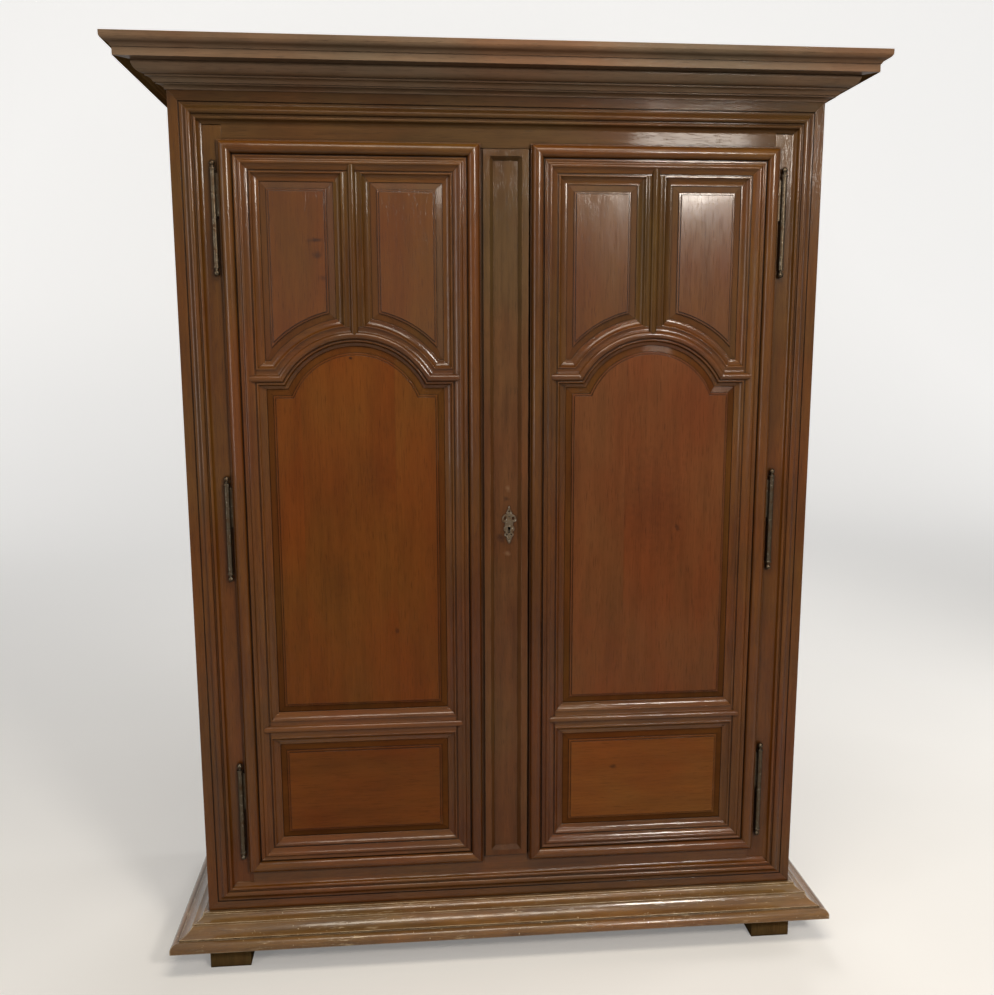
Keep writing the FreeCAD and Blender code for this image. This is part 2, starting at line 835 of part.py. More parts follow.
def back_boards():
    count = int(s.back_board_count.value)
    pitch = (2 * back_half - s.back_board_gap) / s.back_board_count
    for index in range(count):
        start = -back_half + s.back_board_gap + index * pitch
        yield box((start, back - s.back_board_inset - s.back_board_thickness, case_low),
                  (start + pitch - s.back_board_gap, back - s.back_board_inset, case_top))


node("back_boards", group(*back_boards()))

# Boards inside
floor_top = open_low - s.floor_drop
board_half = side_inner - s.board_clearance
boards_front = back - s.back_board_inset - s.back_board_thickness
inner_back = back_post_front - s.board_clearance
board_front = post_back + s.board_clearance


def batten(x_low, x_high, top):
    return box((x_low, post_back, top - s.batten_height), (x_high, back_post_front, top))


floor_low = floor_top - s.floor_thickness
node("floor_boards", box((-board_half, board_front, floor_low), (board_half, inner_back, floor_top)))
shelf_pitch = (case_top - floor_top) * s.shelf_pitch_share
shelf_levels = {label: floor_top + step * shelf_pitch
                for step, label in enumerate(("lower_shelf", "middle_shelf", "upper_shelf"), start=1)}
for label, level in shelf_levels.items():
    between_posts = box((-board_half, board_front + s.shelf_setback, level),
                        (board_half, inner_back, level + s.shelf_thickness))
    behind = box((-back_half + s.board_clearance, inner_back, level),
                 (back_half - s.board_clearance, boards_front - s.board_clearance, level + s.shelf_thickness))
    node(label, fuse(between_posts, behind))
batten_tops = [floor_low, *shelf_levels.values()]
left_battens = [batten(-side_inner, -side_inner + s.batten_width, top) for top in batten_tops]
node("shelf_battens", group(*left_battens, *(mirrored(item, X_NORMAL) for item in left_battens)))
dust_edge = s.cornice_inset + s.board_clearance
node("dust_top", box((-half + dust_edge, front + dust_edge, case_top),
                     (half - dust_edge, back, case_top + s.dust_top_thickness)))


def cornice_outline():
    """Section of the cornice, from its outermost face inwards and from the case's top upwards."""
    deepest = cornice_projection + s.cornice_inset
    steps = [
        (-s.cornice_inset - s.cornice_start, ZERO),
        (ZERO, s.neck_rise),
        (-s.neck_cove_out, s.neck_cove_up, -s.neck_cove_sag),
        (ZERO, s.neck_fillet_up),
        (-s.neck_fillet_out, ZERO),
        (-s.bed_cove_out, s.bed_cove_up, -s.bed_cove_sag),
        (ZERO, s.bed_fillet_up),
        (-s.bed_fillet_out, ZERO),
        (-s.ovolo_out, s.ovolo_up, s.ovolo_bulge),
        (ZERO, s.ovolo_fillet_up),
        (-s.soffit_width, ZERO),
        (ZERO, s.corona_up),
        (-s.crown_fillet, ZERO),
        (-s.crown_cove_out, s.crown_cove_up, -s.crown_sag),
        (-s.crown_round_out, s.crown_round_up, s.crown_sag),
    ]
    return running((deepest, ZERO), steps) + [(ZERO, s.cornice_height), (deepest, s.cornice_height)]


def base_outline():
    """Section of the base moulding, from its outermost face inwards and from its lower edge upwards."""
    deepest = base_projection
    steps = [
        (ZERO, s.base_lip_height),
        (s.base_ovolo_in, s.base_ovolo_up, s.base_ovolo_bulge),
        (s.base_step_in, ZERO),
        (ZERO, s.base_step_up),
        (s.base_cove_in, s.base_cove_up, -s.base_cove_sag),
        (ZERO, s.base_bead_up),
        (s.base_bead_in, ZERO),
        (s.base_top_cove_in, s.base_top_cove_up, -s.base_top_cove_sag),
    ]
    corners = running((ZERO, ZERO), steps)
    return corners + [(corners[-1][0], s.base_height), (deepest, s.base_height), (deepest, ZERO)]


base_projection = (s.base_ovolo_in + s.base_step_in + s.base_cove_in + s.base_bead_in + s.base_top_cove_in
                   + s.base_foothold)


def moulding_round_case(outline, projection, inset, height, z):
    """A moulding along the front of the case and back along its left side, mitred at the corner."""
    reach = projection + inset
    outer = half + projection
    front_bar = stretched(outline, 2 * outer, -outer, front - projection, z, ACROSS_RISING)
    front_piece = common(front_bar, wedge(outer, outer - reach, height, reach,
                                          ZERO, front - projection, z, UPRIGHT))
    length = s.case_depth + projection
    side_bar = stretched(outline, length, -outer, back, z, FORWARD_RISING)
    side_piece = common(side_bar, wedge(length, length - reach, height, reach, -outer, back, z, SIDE_MITRE))
    return front_piece, side_piece


cornice_front, cornice_left = moulding_round_case(cornice_outline(), cornice_projection, s.cornice_inset,
                                                  s.cornice_height, case_top)
node("cornice_front", cornice_front)
node("cornice_left", cornice_left)
node("cornice_right", mirrored(cornice_left, X_NORMAL))

base_front, base_left = moulding_round_case(base_outline(), base_projection, ZERO,
                                            s.base_height, s.foot_height)
front_rib = box((-open_half, front, s.foot_height), (open_half, front + s.base_rib_depth, case_low))
side_rib = box((-half, post_back, s.foot_height), (-half + s.base_rib_depth, back_post_front, case_low))
node("base_front", fuse(base_front, front_rib))
left_base = node("base_left", fuse(base_left, side_rib))
node("base_right", mirrored(left_base, X_NORMAL))


def foot(y, spigot_x, spigot_y):
    outer = -half + s.foot_side_inset
    block = box((outer, y, ZERO), (outer + s.foot_width, y + s.foot_width, s.foot_height))
    return fuse(block, foot_spigot(spigot_x, spigot_y, ZERO))


for label, feet in (("front_feet", foot(front - s.foot_forward, front_post_x, front_post_y)),
                    ("back_feet", foot(back - s.foot_width, back_post_x, back_post_y))):
    node(label, group(feet, mirrored(feet, X_NORMAL)))

# Left door: outer frame
door_mid_height = (door_low + door_top) / 2
stile_bar = stretched(door_frame_outline(), s.door_height, -lip_edge, crest_plane, door_low, UPRIGHT)
half_height = s.door_height / 2
stile_blank = common(stile_bar, wedge(half_height, half_height - stile_width, frame_back, stile_width,
                                      -lip_edge, crest_plane, door_mid_height, UPRIGHT_MITRE))
rail_bar = stretched(door_frame_outline(), door_width, -lip_edge, crest_plane, door_top, ACROSS)
rail_blank = common(rail_bar, wedge(door_half, door_half - stile_width, frame_back, stile_width,
                                    door_middle, crest_plane, door_top, LEVEL_MITRE))
lip_back = front - s.lip_gap


def rebates():
    """Room behind the lips for the case's frame, at the hinge side, the top and the bottom."""
    deep = door_back + s.overrun
    left = -lip_edge - s.overrun
    right = -meeting_edge + s.overrun
    side = box((left, lip_back, door_low - s.overrun), (-open_half + s.door_gap, deep, door_top + s.overrun))
    top = box((left, lip_back, open_top - s.door_gap), (right, deep, door_top + s.overrun))
    bottom = box((left, lip_back, door_low - s.overrun), (right, deep, open_low + s.door_gap))
    return fuse(side, top, bottom)


def door_tenon(low_edge, high_edge, inside):
    """Corners of the tenon with which a rail enters the hinge stile."""
    inner = -lip_edge + stile_width
    y = crest_plane + groove_front + s.joint_gap
    return ((inner - s.tenon_length, y, low_edge), (inner + inside, y + s.tenon_thickness, high_edge))


mid_level = door_low + s.mid_rail_level
shoulder_level = door_top - s.arch_shoulder_drop
inner_left = -lip_edge + stile_width
inner_width = door_width - 2 * stile_width
arch_span = inner_width / 2 - s.arch_shoulder_width
arch_rise = arch_span * s.arch_rise_share
arch_radius = (arch_span * arch_span + arch_rise * arch_rise) / (2 * arch_rise)
arch_centre = shoulder_level + arch_rise - arch_radius
inner_low = door_low + stile_width
inner_top = door_top - stile_width
bead_width = s.arris_width + s.cavetto_width
arch_bead_width = s.arris_width + s.arch_cavetto_width
face_depth = cavetto_foot
astragal_reach = channel_start - s.slope_width - s.ridge_width / 2

top_tenon = door_tenon(inner_top + s.tenon_inset, inner_top + s.tenon_length - s.door_gap, ZERO)
mid_tenon = door_tenon(mid_level - s.tenon_inset, mid_level + s.tenon_inset, s.overrun)
arch_tenon = door_tenon(shoulder_level - s.tenon_inset / 2, shoulder_level + s.tenon_inset, s.overrun)


def both_sides(solid):
    """A piece at the hinge side of the left door and its twin at the meeting side."""
    return [solid, mirrored(solid, X_NORMAL, door_middle)]


def stile_housing(level, lower, upper, lower_bead):
    """Mitred place in the hinge stile's moulding for the face of an inner rail."""
    return wedge((lower - lower_bead, upper - bead_width), (lower, upper), face_depth, bead_width,
                 inner_left - bead_width, crest_plane, level, UPRIGHT_MITRE)


def astragal_end(level):
    """Stretch of an inner rail's astragal that runs on to the ridge of the hinge stile."""
    return box((-lip_edge + astragal_reach, crest_plane, level - astragal_half),
               (inner_left, crest_plane + face_depth, level + astragal_half))


mid_housing = stile_housing(mid_level, rail_half, rail_half, bead_width)
arch_housing = stile_housing(shoulder_level, arch_lower_half, rail_half, arch_bead_width)
stile_mortises = [grown(*corners, s.joint_gap) for corners in (top_tenon, mid_tenon, arch_tenon)]
stile_mortises.append(mirrored(grown(*top_tenon, s.joint_gap), Z_NORMAL, door_mid_height))
stile_core = cut(stile_blank, mid_housing, arch_housing, *stile_mortises)
hinge_stile = cut(stile_core, rebates(), *(grown(*door_leaf(level), s.joint_gap) for level in hinge_levels()))
meeting_core = mirrored(stile_core, X_NORMAL, door_middle)
plain_meeting_stile = cut(meeting_core, rebates())

strip_tongue_y = front + s.tenon_thickness
strip_low = open_low + s.door_gap
strip_high = open_top - s.door_gap
strip_tongue = ((-meeting_edge - s.strip_tongue_length, strip_tongue_y, strip_low + s.tenon_inset),
                (-meeting_edge, strip_tongue_y + s.tenon_thickness, strip_high - s.tenon_inset))
left_meeting_stile = cut(plain_meeting_stile, grown(*strip_tongue, s.joint_gap))


def fitted_rail(bar, low, high, level, housing, tenon_corners):
    """Trim a rail to the stiles' inner edges, with mitred faces, astragals that run on, and tenons."""
    inside = box((inner_left, crest_plane, low), (inner_left + inner_width, door_back, high))
    extent = fuse(inside, *both_sides(housing), *both_sides(astragal_end(level)))
    scribed = cut(common(bar, extent), stile_core, meeting_core)
    return fuse(scribed, *both_sides(box(*tenon_corners)))


def mid_rail():
    bar = stretched(rail_outline(s.rail_hollow_width, s.cavetto_width), door_width,
                    -meeting_edge, crest_plane, mid_level - rail_half, ACROSS_UPWARD)
    return fitted_rail(bar, mid_level - rail_half, mid_level + rail_half, mid_level, mid_housing, mid_tenon)


def corner_reach(offset):
    """Half the distance between the arch's two corners, at an offset from the astragal's line."""
    radius = arch_radius + offset
    level = shoulder_level - arch_centre + offset
    return (radius * radius - level * level).root()


def arch_and_shoulders():
    """Arched rail: a turned arch, and the two level shoulders that are mitred to its ends."""
    outline = rail_outline(s.arch_hollow_width, s.arch_cavetto_width)
    inner_radius = arch_radius - arch_lower_half
    ring_outline = [(corner[0] + inner_radius,) + tuple(corner[1:]) for corner in outline]
    ring = turned(ring_outline, door_middle, crest_plane, arch_centre)
    low = shoulder_level - arch_lower_half
    spread = (corner_reach(rail_half) - corner_reach(-arch_lower_half)) / (arch_lower_half + rail_half)
    foot_level = low - s.overrun
    height = arch_centre + arch_radius + rail_half + s.overrun - foot_level
    foot_half = corner_reach(-arch_lower_half) - s.overrun * spread
    sector = wedge(foot_half, foot_half + height * spread, frame_back, height,
                   door_middle, door_back, foot_level, RISING_MITRE)
    bar = stretched(outline, door_width, -meeting_edge, crest_plane, low, ACROSS_UPWARD)
    shoulders = fitted_rail(cut(bar, sector), low, foot_level + height,
                            shoulder_level, arch_housing, arch_tenon)
    return common(ring, sector), shoulders


def sunk_height(radius, offset):
    """Height of an arc above the arch's centre, at an offset from the door's middle line."""
    return (radius * radius - offset * offset).root()


arch_outer = arch_radius + rail_half
muntin_inner = rail_half - bead_width
muntin_foot = arch_centre + sunk_height(arch_outer, rail_half)
muntin_tip = arch_centre + sunk_height(arch_outer - bead_width, muntin_inner)
face_back = crest_plane + face_depth


def muntin_tenon(low, high):
    y = crest_plane + groove_front + s.joint_gap
    return ((door_middle - s.tenon_inset, y, low), (door_middle + s.tenon_inset, y + s.tenon_thickness, high))


upper_tenon = muntin_tenon(inner_top - s.overrun, inner_top + s.tenon_length)
lower_tenon = muntin_tenon(arch_centre + arch_radius + s.tenon_inset, arch_centre + arch_outer + s.overrun)
upper_housing = wedge(rail_half, muntin_inner, face_depth, bead_width,
                      door_middle, face_back, inner_top, RISING_MITRE)
lower_housing = fuse(
    wedge(muntin_inner, rail_half, face_depth, muntin_foot - muntin_tip, door_middle, face_back, muntin_tip,
          RISING_MITRE),
    box((door_middle - rail_half, crest_plane, muntin_foot),
        (door_middle + rail_half, face_back, arch_centre + arch_outer + s.door_gap)),
)
top_rail_core = cut(rail_blank, upper_housing, grown(*upper_tenon, s.joint_gap))
top_door_rail = fuse(cut(top_rail_core, rebates()), *both_sides(box(*top_tenon)))
bottom_tenons = mirrored(fuse(*both_sides(box(*top_tenon))), Z_NORMAL, door_mid_height)
bottom_door_rail = fuse(cut(mirrored(rail_blank, Z_NORMAL, door_mid_height), rebates()), bottom_tenons)
arch_blank, arch_shoulders = arch_and_shoulders()
arch = cut(arch_blank, lower_housing, grown(*lower_tenon, s.joint_gap))


def muntin():
    """Short upright between the arch and the top rail."""
    low = arch_centre + arch_radius + astragal_half / 4
    high = door_top - astragal_reach
    bar = stretched(rail_outline(s.rail_hollow_width, s.cavetto_width), high - low, door_middle - rail_half,
                    crest_plane, low, UPRIGHT)
    inside = box((door_middle - rail_half, crest_plane, muntin_foot),
                 (door_middle + rail_half, door_back, inner_top))
    astragal = box((door_middle - astragal_half, crest_plane, low),
                   (door_middle + astragal_half, face_back, high))
    scribed = cut(common(bar, fuse(inside, upper_housing, lower_housing, astragal)), top_rail_core, arch)
    return fuse(scribed, box(*upper_tenon), box(*lower_tenon))


def upright_bounds(left, width, low, high):
    """Panel as bounded by its two upright edges."""
    return stretched(panel_outline(width), high - low + 2 * s.tongue_length,
                     left - s.tongue_length, field_plane, low - s.tongue_length, UPRIGHT)


def level_bounds(left, width, low, high):
    """Panel as bounded by its level lower and upper edges."""
    return stretched(panel_outline(high - low), width + 2 * s.tongue_length,
                     left - s.tongue_length, field_plane, high + s.tongue_length, ACROSS)


def round_bounds(radius, inwards):
    """Panel as bounded by an arc of the arched rail."""
    return turned(panel_rim_outline(radius, inwards), door_middle, field_plane, arch_centre)


def main_panel():
    low = mid_level + rail_half
    shoulder = shoulder_level - arch_lower_half
    radius = arch_radius - arch_lower_half
    head = fuse(level_bounds(inner_left, inner_width, low, shoulder), round_bounds(radius, True))
    return common(upright_bounds(inner_left, inner_width, low, arch_centre + radius), head)


def upper_panel():
    low = shoulder_level + rail_half
    width = inner_width / 2 - rail_half
    return common(upright_bounds(inner_left, width, low, inner_top),
                  level_bounds(inner_left, width, low, inner_top), round_bounds(arch_outer, False))


def lower_panel():
    high = mid_level - rail_half
    return common(upright_bounds(inner_left, inner_width, inner_low, high),
                  level_bounds(inner_left, inner_width, inner_low, high))


door_hinges, post_hinges = left_hinges()
upper_left_panel = upper_panel()
door_pieces = {
    "hinge_stile": hinge_stile,
    "top_rail": top_door_rail,
    "bottom_rail": bottom_door_rail,
    "mid_rail": mid_rail(),
    "arch_rail": group(arch, arch_shoulders),
    "muntin": muntin(),
    "upper_panels": group(upper_left_panel, mirrored(upper_left_panel, X_NORMAL, door_middle)),
    "main_panel": main_panel(),
    "lower_panel": lower_panel(),
    "door_hinges": door_hinges,
    "post_hinges": post_hinges,
}
for label, piece in door_pieces.items():
    node(f"left_{label}", piece)
    node(f"right_{label}", mirrored(piece, X_NORMAL))
node("left_meeting_stile", left_meeting_stile)
node("right_meeting_stile", mirrored(plain_meeting_stile, X_NORMAL))

# Centre strip, escutcheon and lock
strip_half = s.strip_width / 2
strip_right = meeting_edge - s.door_gap
strip_face = front - s.strip_rise
lock_middle = door_low + s.door_height * s.lock_level_share
sink_reach = strip_half - s.strip_border_width
floor_reach = sink_reach - s.strip_bevel_width
sink_floor = strip_face + s.strip_sink_depth
FORWARD = Rotation(X_NORMAL, -90)


def keyhole(start, depth):
    """A round hole with a slot below it, cut straight back."""
    eye = rod(s.keyhole_radius, depth, s.escutcheon_shift, start, lock_middle, FORWARD)
    slot = box((s.escutcheon_shift - s.keyhole_slot_width / 2, start, lock_middle - s.keyhole_slot_length),
               (s.escutcheon_shift + s.keyhole_slot_width / 2, start + depth, lock_middle))
    return fuse(eye, slot)


def sunk_field():
    """Sunk face of the strip, with bevelled sides and ends."""
    hollow = doc.addObject("Part::Wedge", "Hollow")
    end = (strip_high - strip_low) / 2 - s.strip_border_width
    deep_end = end - s.strip_bevel_width
    spans = {"Xmin": -sink_reach, "Xmax": sink_reach, "X2min": -floor_reach, "X2max": floor_reach,
             "Ymin": ZERO, "Ymax": s.strip_sink_depth, "Zmin": -end, "Zmax": end,
             "Z2min": -deep_end, "Z2max": deep_end}
    for name, value in spans.items():
        hollow.setExpression(name, value.text)
    place(hollow, ZERO, strip_face, (strip_low + strip_high) / 2)
    return hollow


board = box((-meeting_edge, front - s.strip_bed_rise, strip_low), (strip_right, door_back, strip_high))
raised = box((-strip_half, strip_face, strip_low), (strip_half, door_back, strip_high))
node("centre_strip", cut(fuse(board, raised, box(*strip_tongue)), sunk_field(),
                         keyhole(strip_face, s.strip_rise + s.body_depth)))


def escutcheon():
    """Pierced iron plate: a round body, side lobes, a stem each way, a knop with an eye and a point."""
    start = sink_floor - s.escutcheon_thickness
    thick = s.escutcheon_thickness
    middle = s.escutcheon_shift
    pieces = [rod(s.escutcheon_body_radius, thick, middle, start, lock_middle, FORWARD)]
    eyes = [keyhole(start, thick)]
    stem_half = s.escutcheon_stem_width / 2
    pieces.append(box((middle - stem_half, start, lock_middle - s.escutcheon_tip_level),
                      (middle + stem_half, sink_floor, lock_middle + s.escutcheon_tip_level)))
    for up in (s.escutcheon_lobe_level, -s.escutcheon_lobe_level):
        for out in (s.escutcheon_lobe_offset, -s.escutcheon_lobe_offset):
            spot = (middle + out, start, lock_middle + up, FORWARD)
            pieces.append(rod(s.escutcheon_lobe_radius, thick, *spot))
            eyes.append(rod(s.escutcheon_eye_radius, thick, *spot))
    for up, tip in ((s.escutcheon_tip_level, s.escutcheon_point_length),
                    (-s.escutcheon_tip_level, -s.escutcheon_point_length)):
        pieces.append(rod(s.escutcheon_tip_radius, thick, middle, start, lock_middle + up, FORWARD))
        levels = (lock_middle + up + tip, lock_middle + up)
        low, high = levels if levels[0].value < levels[1].value else levels[::-1]
        pieces.append(box((middle - s.escutcheon_eye_radius / 2, start, low),
                          (middle + s.escutcheon_eye_radius / 2, sink_floor, high)))
    return cut(fuse(*pieces), *eyes)


node("escutcheon", escutcheon())

lock_right = strip_right - s.lock_end_inset
lock_left = lock_right - s.lock_width
lock_back = door_back + s.lock_depth
bolt_level = lock_middle + s.bolt_rise
lock_bolt_y = door_back + s.lock_wall + s.bolt_stop_gap
bolt_low = (lock_right - s.bolt_length, lock_bolt_y, bolt_level - s.bolt_height / 2)
bolt_high = (lock_right, lock_bolt_y + s.bolt_thickness, bolt_level + s.bolt_height / 2)
room_low = (lock_left + s.lock_wall, bolt_low[1], bolt_low[2])
room_high = (lock_right + s.overrun, bolt_high[1], bolt_high[2])
lock_block = box((lock_left, door_back, lock_middle - s.lock_height / 2),
                 (lock_right, lock_back, lock_middle + s.lock_height / 2))
key_room = rod(s.key_room_radius, s.lock_depth - 2 * s.lock_wall,
               s.escutcheon_shift, door_back + s.lock_wall, lock_middle, FORWARD)
node("lock_case", cut(lock_block, grown(room_low, room_high, s.bolt_stop_gap), key_room,
                      keyhole(door_back - s.overrun, s.overrun + s.lock_wall + s.joint_gap)))
node("lock_bolt", box(bolt_low, bolt_high))
keeper_left = meeting_edge + s.keeper_inset
keeper_low = (keeper_left, door_back, bolt_low[2] - s.keeper_wall)
keeper_high = (keeper_left + s.keeper_width, bolt_high[1] + s.keeper_wall, bolt_high[2] + s.keeper_wall)
pocket_low = (keeper_left - s.overrun, bolt_low[1], bolt_low[2])
pocket_high = (keeper_left + s.keeper_width - s.keeper_wall, bolt_high[1], bolt_high[2])
node("lock_keeper", cut(box(keeper_low, keeper_high), grown(pocket_low, pocket_high, s.barrel_gap)))

# Slide bolts at the back of the right door's meeting stile
slide_end = open_top - s.door_gap - s.lip_gap
slide_low = (bolt_x - s.slide_width / 2, bolt_y, slide_end - s.slide_length)
slide_high = (bolt_x + s.slide_width / 2, bolt_y + s.slide_thickness, slide_end)
knob = rod(s.slide_knob_radius, s.slide_knob_length,
           bolt_x, slide_high[1], slide_end - s.slide_knob_level, FORWARD)
upper_bolt = node("upper_bolt", fuse(box(slide_low, slide_high), knob))
node("lower_bolt", mirrored(upper_bolt, Z_NORMAL, mid_height))


def guides():
    """Staples that hold the upper bolt."""
    for step in range(2):
        top = slide_end - s.guide_first_level - step * s.guide_spacing
        block = box((slide_low[0] - s.guide_wall, door_back, top - s.guide_height),
                    (slide_high[0] + s.guide_wall, slide_high[1] + s.guide_wall, top))
        passage = grown((slide_low[0], bolt_y, top - s.guide_height - s.overrun),
                        (slide_high[0], slide_high[1], top + s.overrun), s.bolt_stop_gap)
        yield cut(block, passage)


upper_guides = list(guides())
node("bolt_guides", group(*upper_guides, *(mirrored(item, Z_NORMAL, mid_height) for item in upper_guides)))

# Finished sub-parts
doc.recompute()
for item in doc.Objects:
    if {"Invalid", "Error"} & set(item.State):
        raise RuntimeError(f"{item.Name} could not be built")
for item in nodes:
    if item.Shape.isNull() or not item.Shape.isValid():
        raise RuntimeError(f"{item.Label} is not a sound solid")
os.makedirs("parts", exist_ok=True)
for item in nodes:
    item.Shape.exportStep(f"parts/{item.Label}.step")
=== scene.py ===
import json
import math
import random
from dataclasses import dataclass

import bmesh
import bpy
from mathutils import Euler, Matrix, Vector


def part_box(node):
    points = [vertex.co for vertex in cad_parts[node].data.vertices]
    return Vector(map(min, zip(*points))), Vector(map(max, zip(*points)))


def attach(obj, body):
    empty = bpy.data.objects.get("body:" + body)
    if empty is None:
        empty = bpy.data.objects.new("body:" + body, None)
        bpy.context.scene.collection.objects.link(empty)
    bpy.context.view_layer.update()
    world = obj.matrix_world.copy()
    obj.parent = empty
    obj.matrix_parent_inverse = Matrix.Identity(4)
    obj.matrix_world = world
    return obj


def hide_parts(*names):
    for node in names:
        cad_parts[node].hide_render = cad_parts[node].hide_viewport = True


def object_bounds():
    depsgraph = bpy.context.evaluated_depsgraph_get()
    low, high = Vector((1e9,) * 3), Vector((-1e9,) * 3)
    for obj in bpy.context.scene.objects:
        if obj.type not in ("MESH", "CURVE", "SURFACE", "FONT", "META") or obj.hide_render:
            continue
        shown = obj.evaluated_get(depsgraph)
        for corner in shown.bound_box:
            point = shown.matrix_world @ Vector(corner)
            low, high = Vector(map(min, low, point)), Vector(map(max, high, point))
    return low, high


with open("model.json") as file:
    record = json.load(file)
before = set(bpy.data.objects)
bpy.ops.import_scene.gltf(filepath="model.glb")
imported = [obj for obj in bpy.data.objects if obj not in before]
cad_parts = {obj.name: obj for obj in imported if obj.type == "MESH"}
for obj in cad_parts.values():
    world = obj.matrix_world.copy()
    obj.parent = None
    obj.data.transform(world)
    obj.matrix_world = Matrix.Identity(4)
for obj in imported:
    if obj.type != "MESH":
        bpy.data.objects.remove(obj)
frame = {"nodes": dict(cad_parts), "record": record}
cad_low, cad_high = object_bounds()
NODES = frame["nodes"]
MM = 0.001
UP = Vector((0, 0, 1))

# Grain of each board: upright, across the front, or from front to back
UPRIGHT = ("left_front_post right_front_post left_back_post right_back_post left_side_panels right_side_panels "
           "left_hinge_stile right_hinge_stile left_meeting_stile right_meeting_stile left_muntin right_muntin "
           "left_upper_panels right_upper_panels left_main_panel right_main_panel centre_strip back_boards "
           "front_feet back_feet").split()
FRONT_TO_BACK = ("cornice_left cornice_right base_left base_right left_side_rails right_side_rails "
                 "shelf_battens").split()
GRAIN_TURN = {
    "Z": (0.0, 0.0, 0.0),
    "X": (0.0, math.radians(90), 0.0),
    "Y": (math.radians(90), 0.0, 0.0),
}


class Paint:
    """A material's node tree, made one node at a time."""

    def __init__(self, name):
        self.material = bpy.data.materials.new(name)
        self.material.use_nodes = True
        self.tree = self.material.node_tree
        self.tree.nodes.clear()

    def node(self, kind, inputs=None, **settings):
        """A new node, with values or links for its inputs."""
        made = self.tree.nodes.new("ShaderNode" + kind)
        for name, value in settings.items():
            setattr(made, name, value)
        for key, value in (inputs or {}).items():
            self.fill(made.inputs[key], value)
        return made

    def fill(self, socket, value):
        """Link an input to another node's output, or set it."""
        if isinstance(value, bpy.types.NodeSocket):
            self.tree.links.new(value, socket)
        else:
            socket.default_value = value

    def math(self, operation, a, b=0.0):
        return self.node("Math", {0: a, 1: b}, operation=operation).outputs[0]

    def sum(self, *shares):
        """Values added up, each times its weight."""
        total = None
        for value, weight in shares:
            part = self.math("MULTIPLY", value, weight)
            total = part if total is None else self.math("ADD", total, part)
        return total

    def vector(self, operation, a, b=(0.0, 0.0, 0.0)):
        return self.node("VectorMath", {0: a, 1: b}, operation=operation).outputs

    def spread(self, value, low, high, to_low=0.0, to_high=1.0):
        """Carry a value from one range to another, and no further."""
        return self.node("MapRange", {0: value, 1: low, 2: high, 3: to_low, 4: to_high}).outputs[0]

    def mix(self, share, a, b):
        return self.node("Mix", {0: share, 6: a, 7: b}, data_type="RGBA").outputs[2]

    def noise(self, place, scale, detail=2.0, roughness=0.5):
        return self.node("TexNoise", {"Vector": place, "Scale": scale, "Detail": detail,
                                      "Roughness": roughness}).outputs[0]

    def streaks(self, place, across, along, detail=2.0, roughness=0.5):
        """Noise drawn out along the grain: so many to the metre across it and along it."""
        fine = self.vector("MULTIPLY", place, (across, across, along))[0]
        return self.noise(fine, 1.0, detail, roughness)

    def surface(self, **inputs):
        """Close the material with a shader of these inputs."""
        shader = self.node("BsdfPrincipled", {name.replace("_", " "): value for name, value in inputs.items()})
        output = self.node("OutputMaterial")
        self.tree.links.new(shader.outputs[0], output.inputs["Surface"])
        return self.material


CREVICE_SAMPLES = 5
EDGE_SAMPLES = 4


def crevices(paint, reach):
    """1 where a surface lies open, towards 0 in a corner or quirk."""
    return paint.node("AmbientOcclusion", {"Distance": reach}, samples=CREVICE_SAMPLES).outputs["AO"]


def edges(paint, radius):
    """A rounded normal, and how nearly it keeps to the face: 1 on a flat, less towards each edge."""
    rounded = paint.node("Bevel", {"Radius": radius}, samples=EDGE_SAMPLES).outputs[0]
    flat = paint.node("NewGeometry").outputs["Normal"]
    return rounded, paint.vector("DOT_PRODUCT", rounded, flat)["Value"]


@dataclass
class Look:
    """Two tones of a wood, and how strong each of its effects is. Its edge is a radius in millimetres."""

    light: tuple
    dark: tuple
    figure: float = 0.7
    wear_and_highlight_share: float = 0.45
    gloss: float = 1.0
    # Strength of the dark old wax and painted shade in quirks and corners
    grime_and_shade: float = 1.0
    # Strength of the dust on upward faces, which also paints their sheen
    dust_and_sheen: float = 0.0
    scuffs: float = 0.0
    seam: float = 0.8
    edge: float = 1.5
    border: tuple = ()
    # Colour of pale rubbed edges, which also paints their highlight
    wear_and_highlight: tuple = (0.34, 0.195, 0.100)
    # Strength of the painted cooler light towards the top
    cool_light_share: float = 0.0


@dataclass
class Spot:
    """An oval mark on a front face: its middle, half its width and height, and its strength."""

    x: float
    z: float
    across: float
    along: float
    strength: float = 0.6


def spot_distance(paint, place, spot):
    """Distance from a mark's middle, 1 on its rim."""
    from_middle = paint.vector("SUBTRACT", place, (spot.x, 0.0, spot.z))[0]
    oval = paint.vector("MULTIPLY", from_middle, (1 / spot.across, 0.0, 1 / spot.along))[0]
    return paint.vector("LENGTH", oval)["Value"]


def spots(paint, place, marks, soft):
    """Where a list of blurred, ragged marks lies on a front face."""
    facing = paint.node("SeparateXYZ", {0: paint.node("TexCoord").outputs["Normal"]}).outputs[1]
    front = paint.spread(facing, 0.1, -0.1)
    ragged = paint.math("MULTIPLY", paint.math("SUBTRACT", paint.noise(place, 70.0, 4.0), 0.5), 1.6)
    total = None
    for mark in marks:
        distance = paint.math("ADD", spot_distance(paint, place, mark), ragged)
        share = paint.math("MULTIPLY", paint.spread(distance, 1.0, 1.0 - soft), mark.strength)
        total = share if total is None else paint.math("MAXIMUM", total, share)
    return paint.math("MULTIPLY", total, front)


SEAM_HALF = 0.3 * MM
SEAM_BLUR = 0.9 * MM


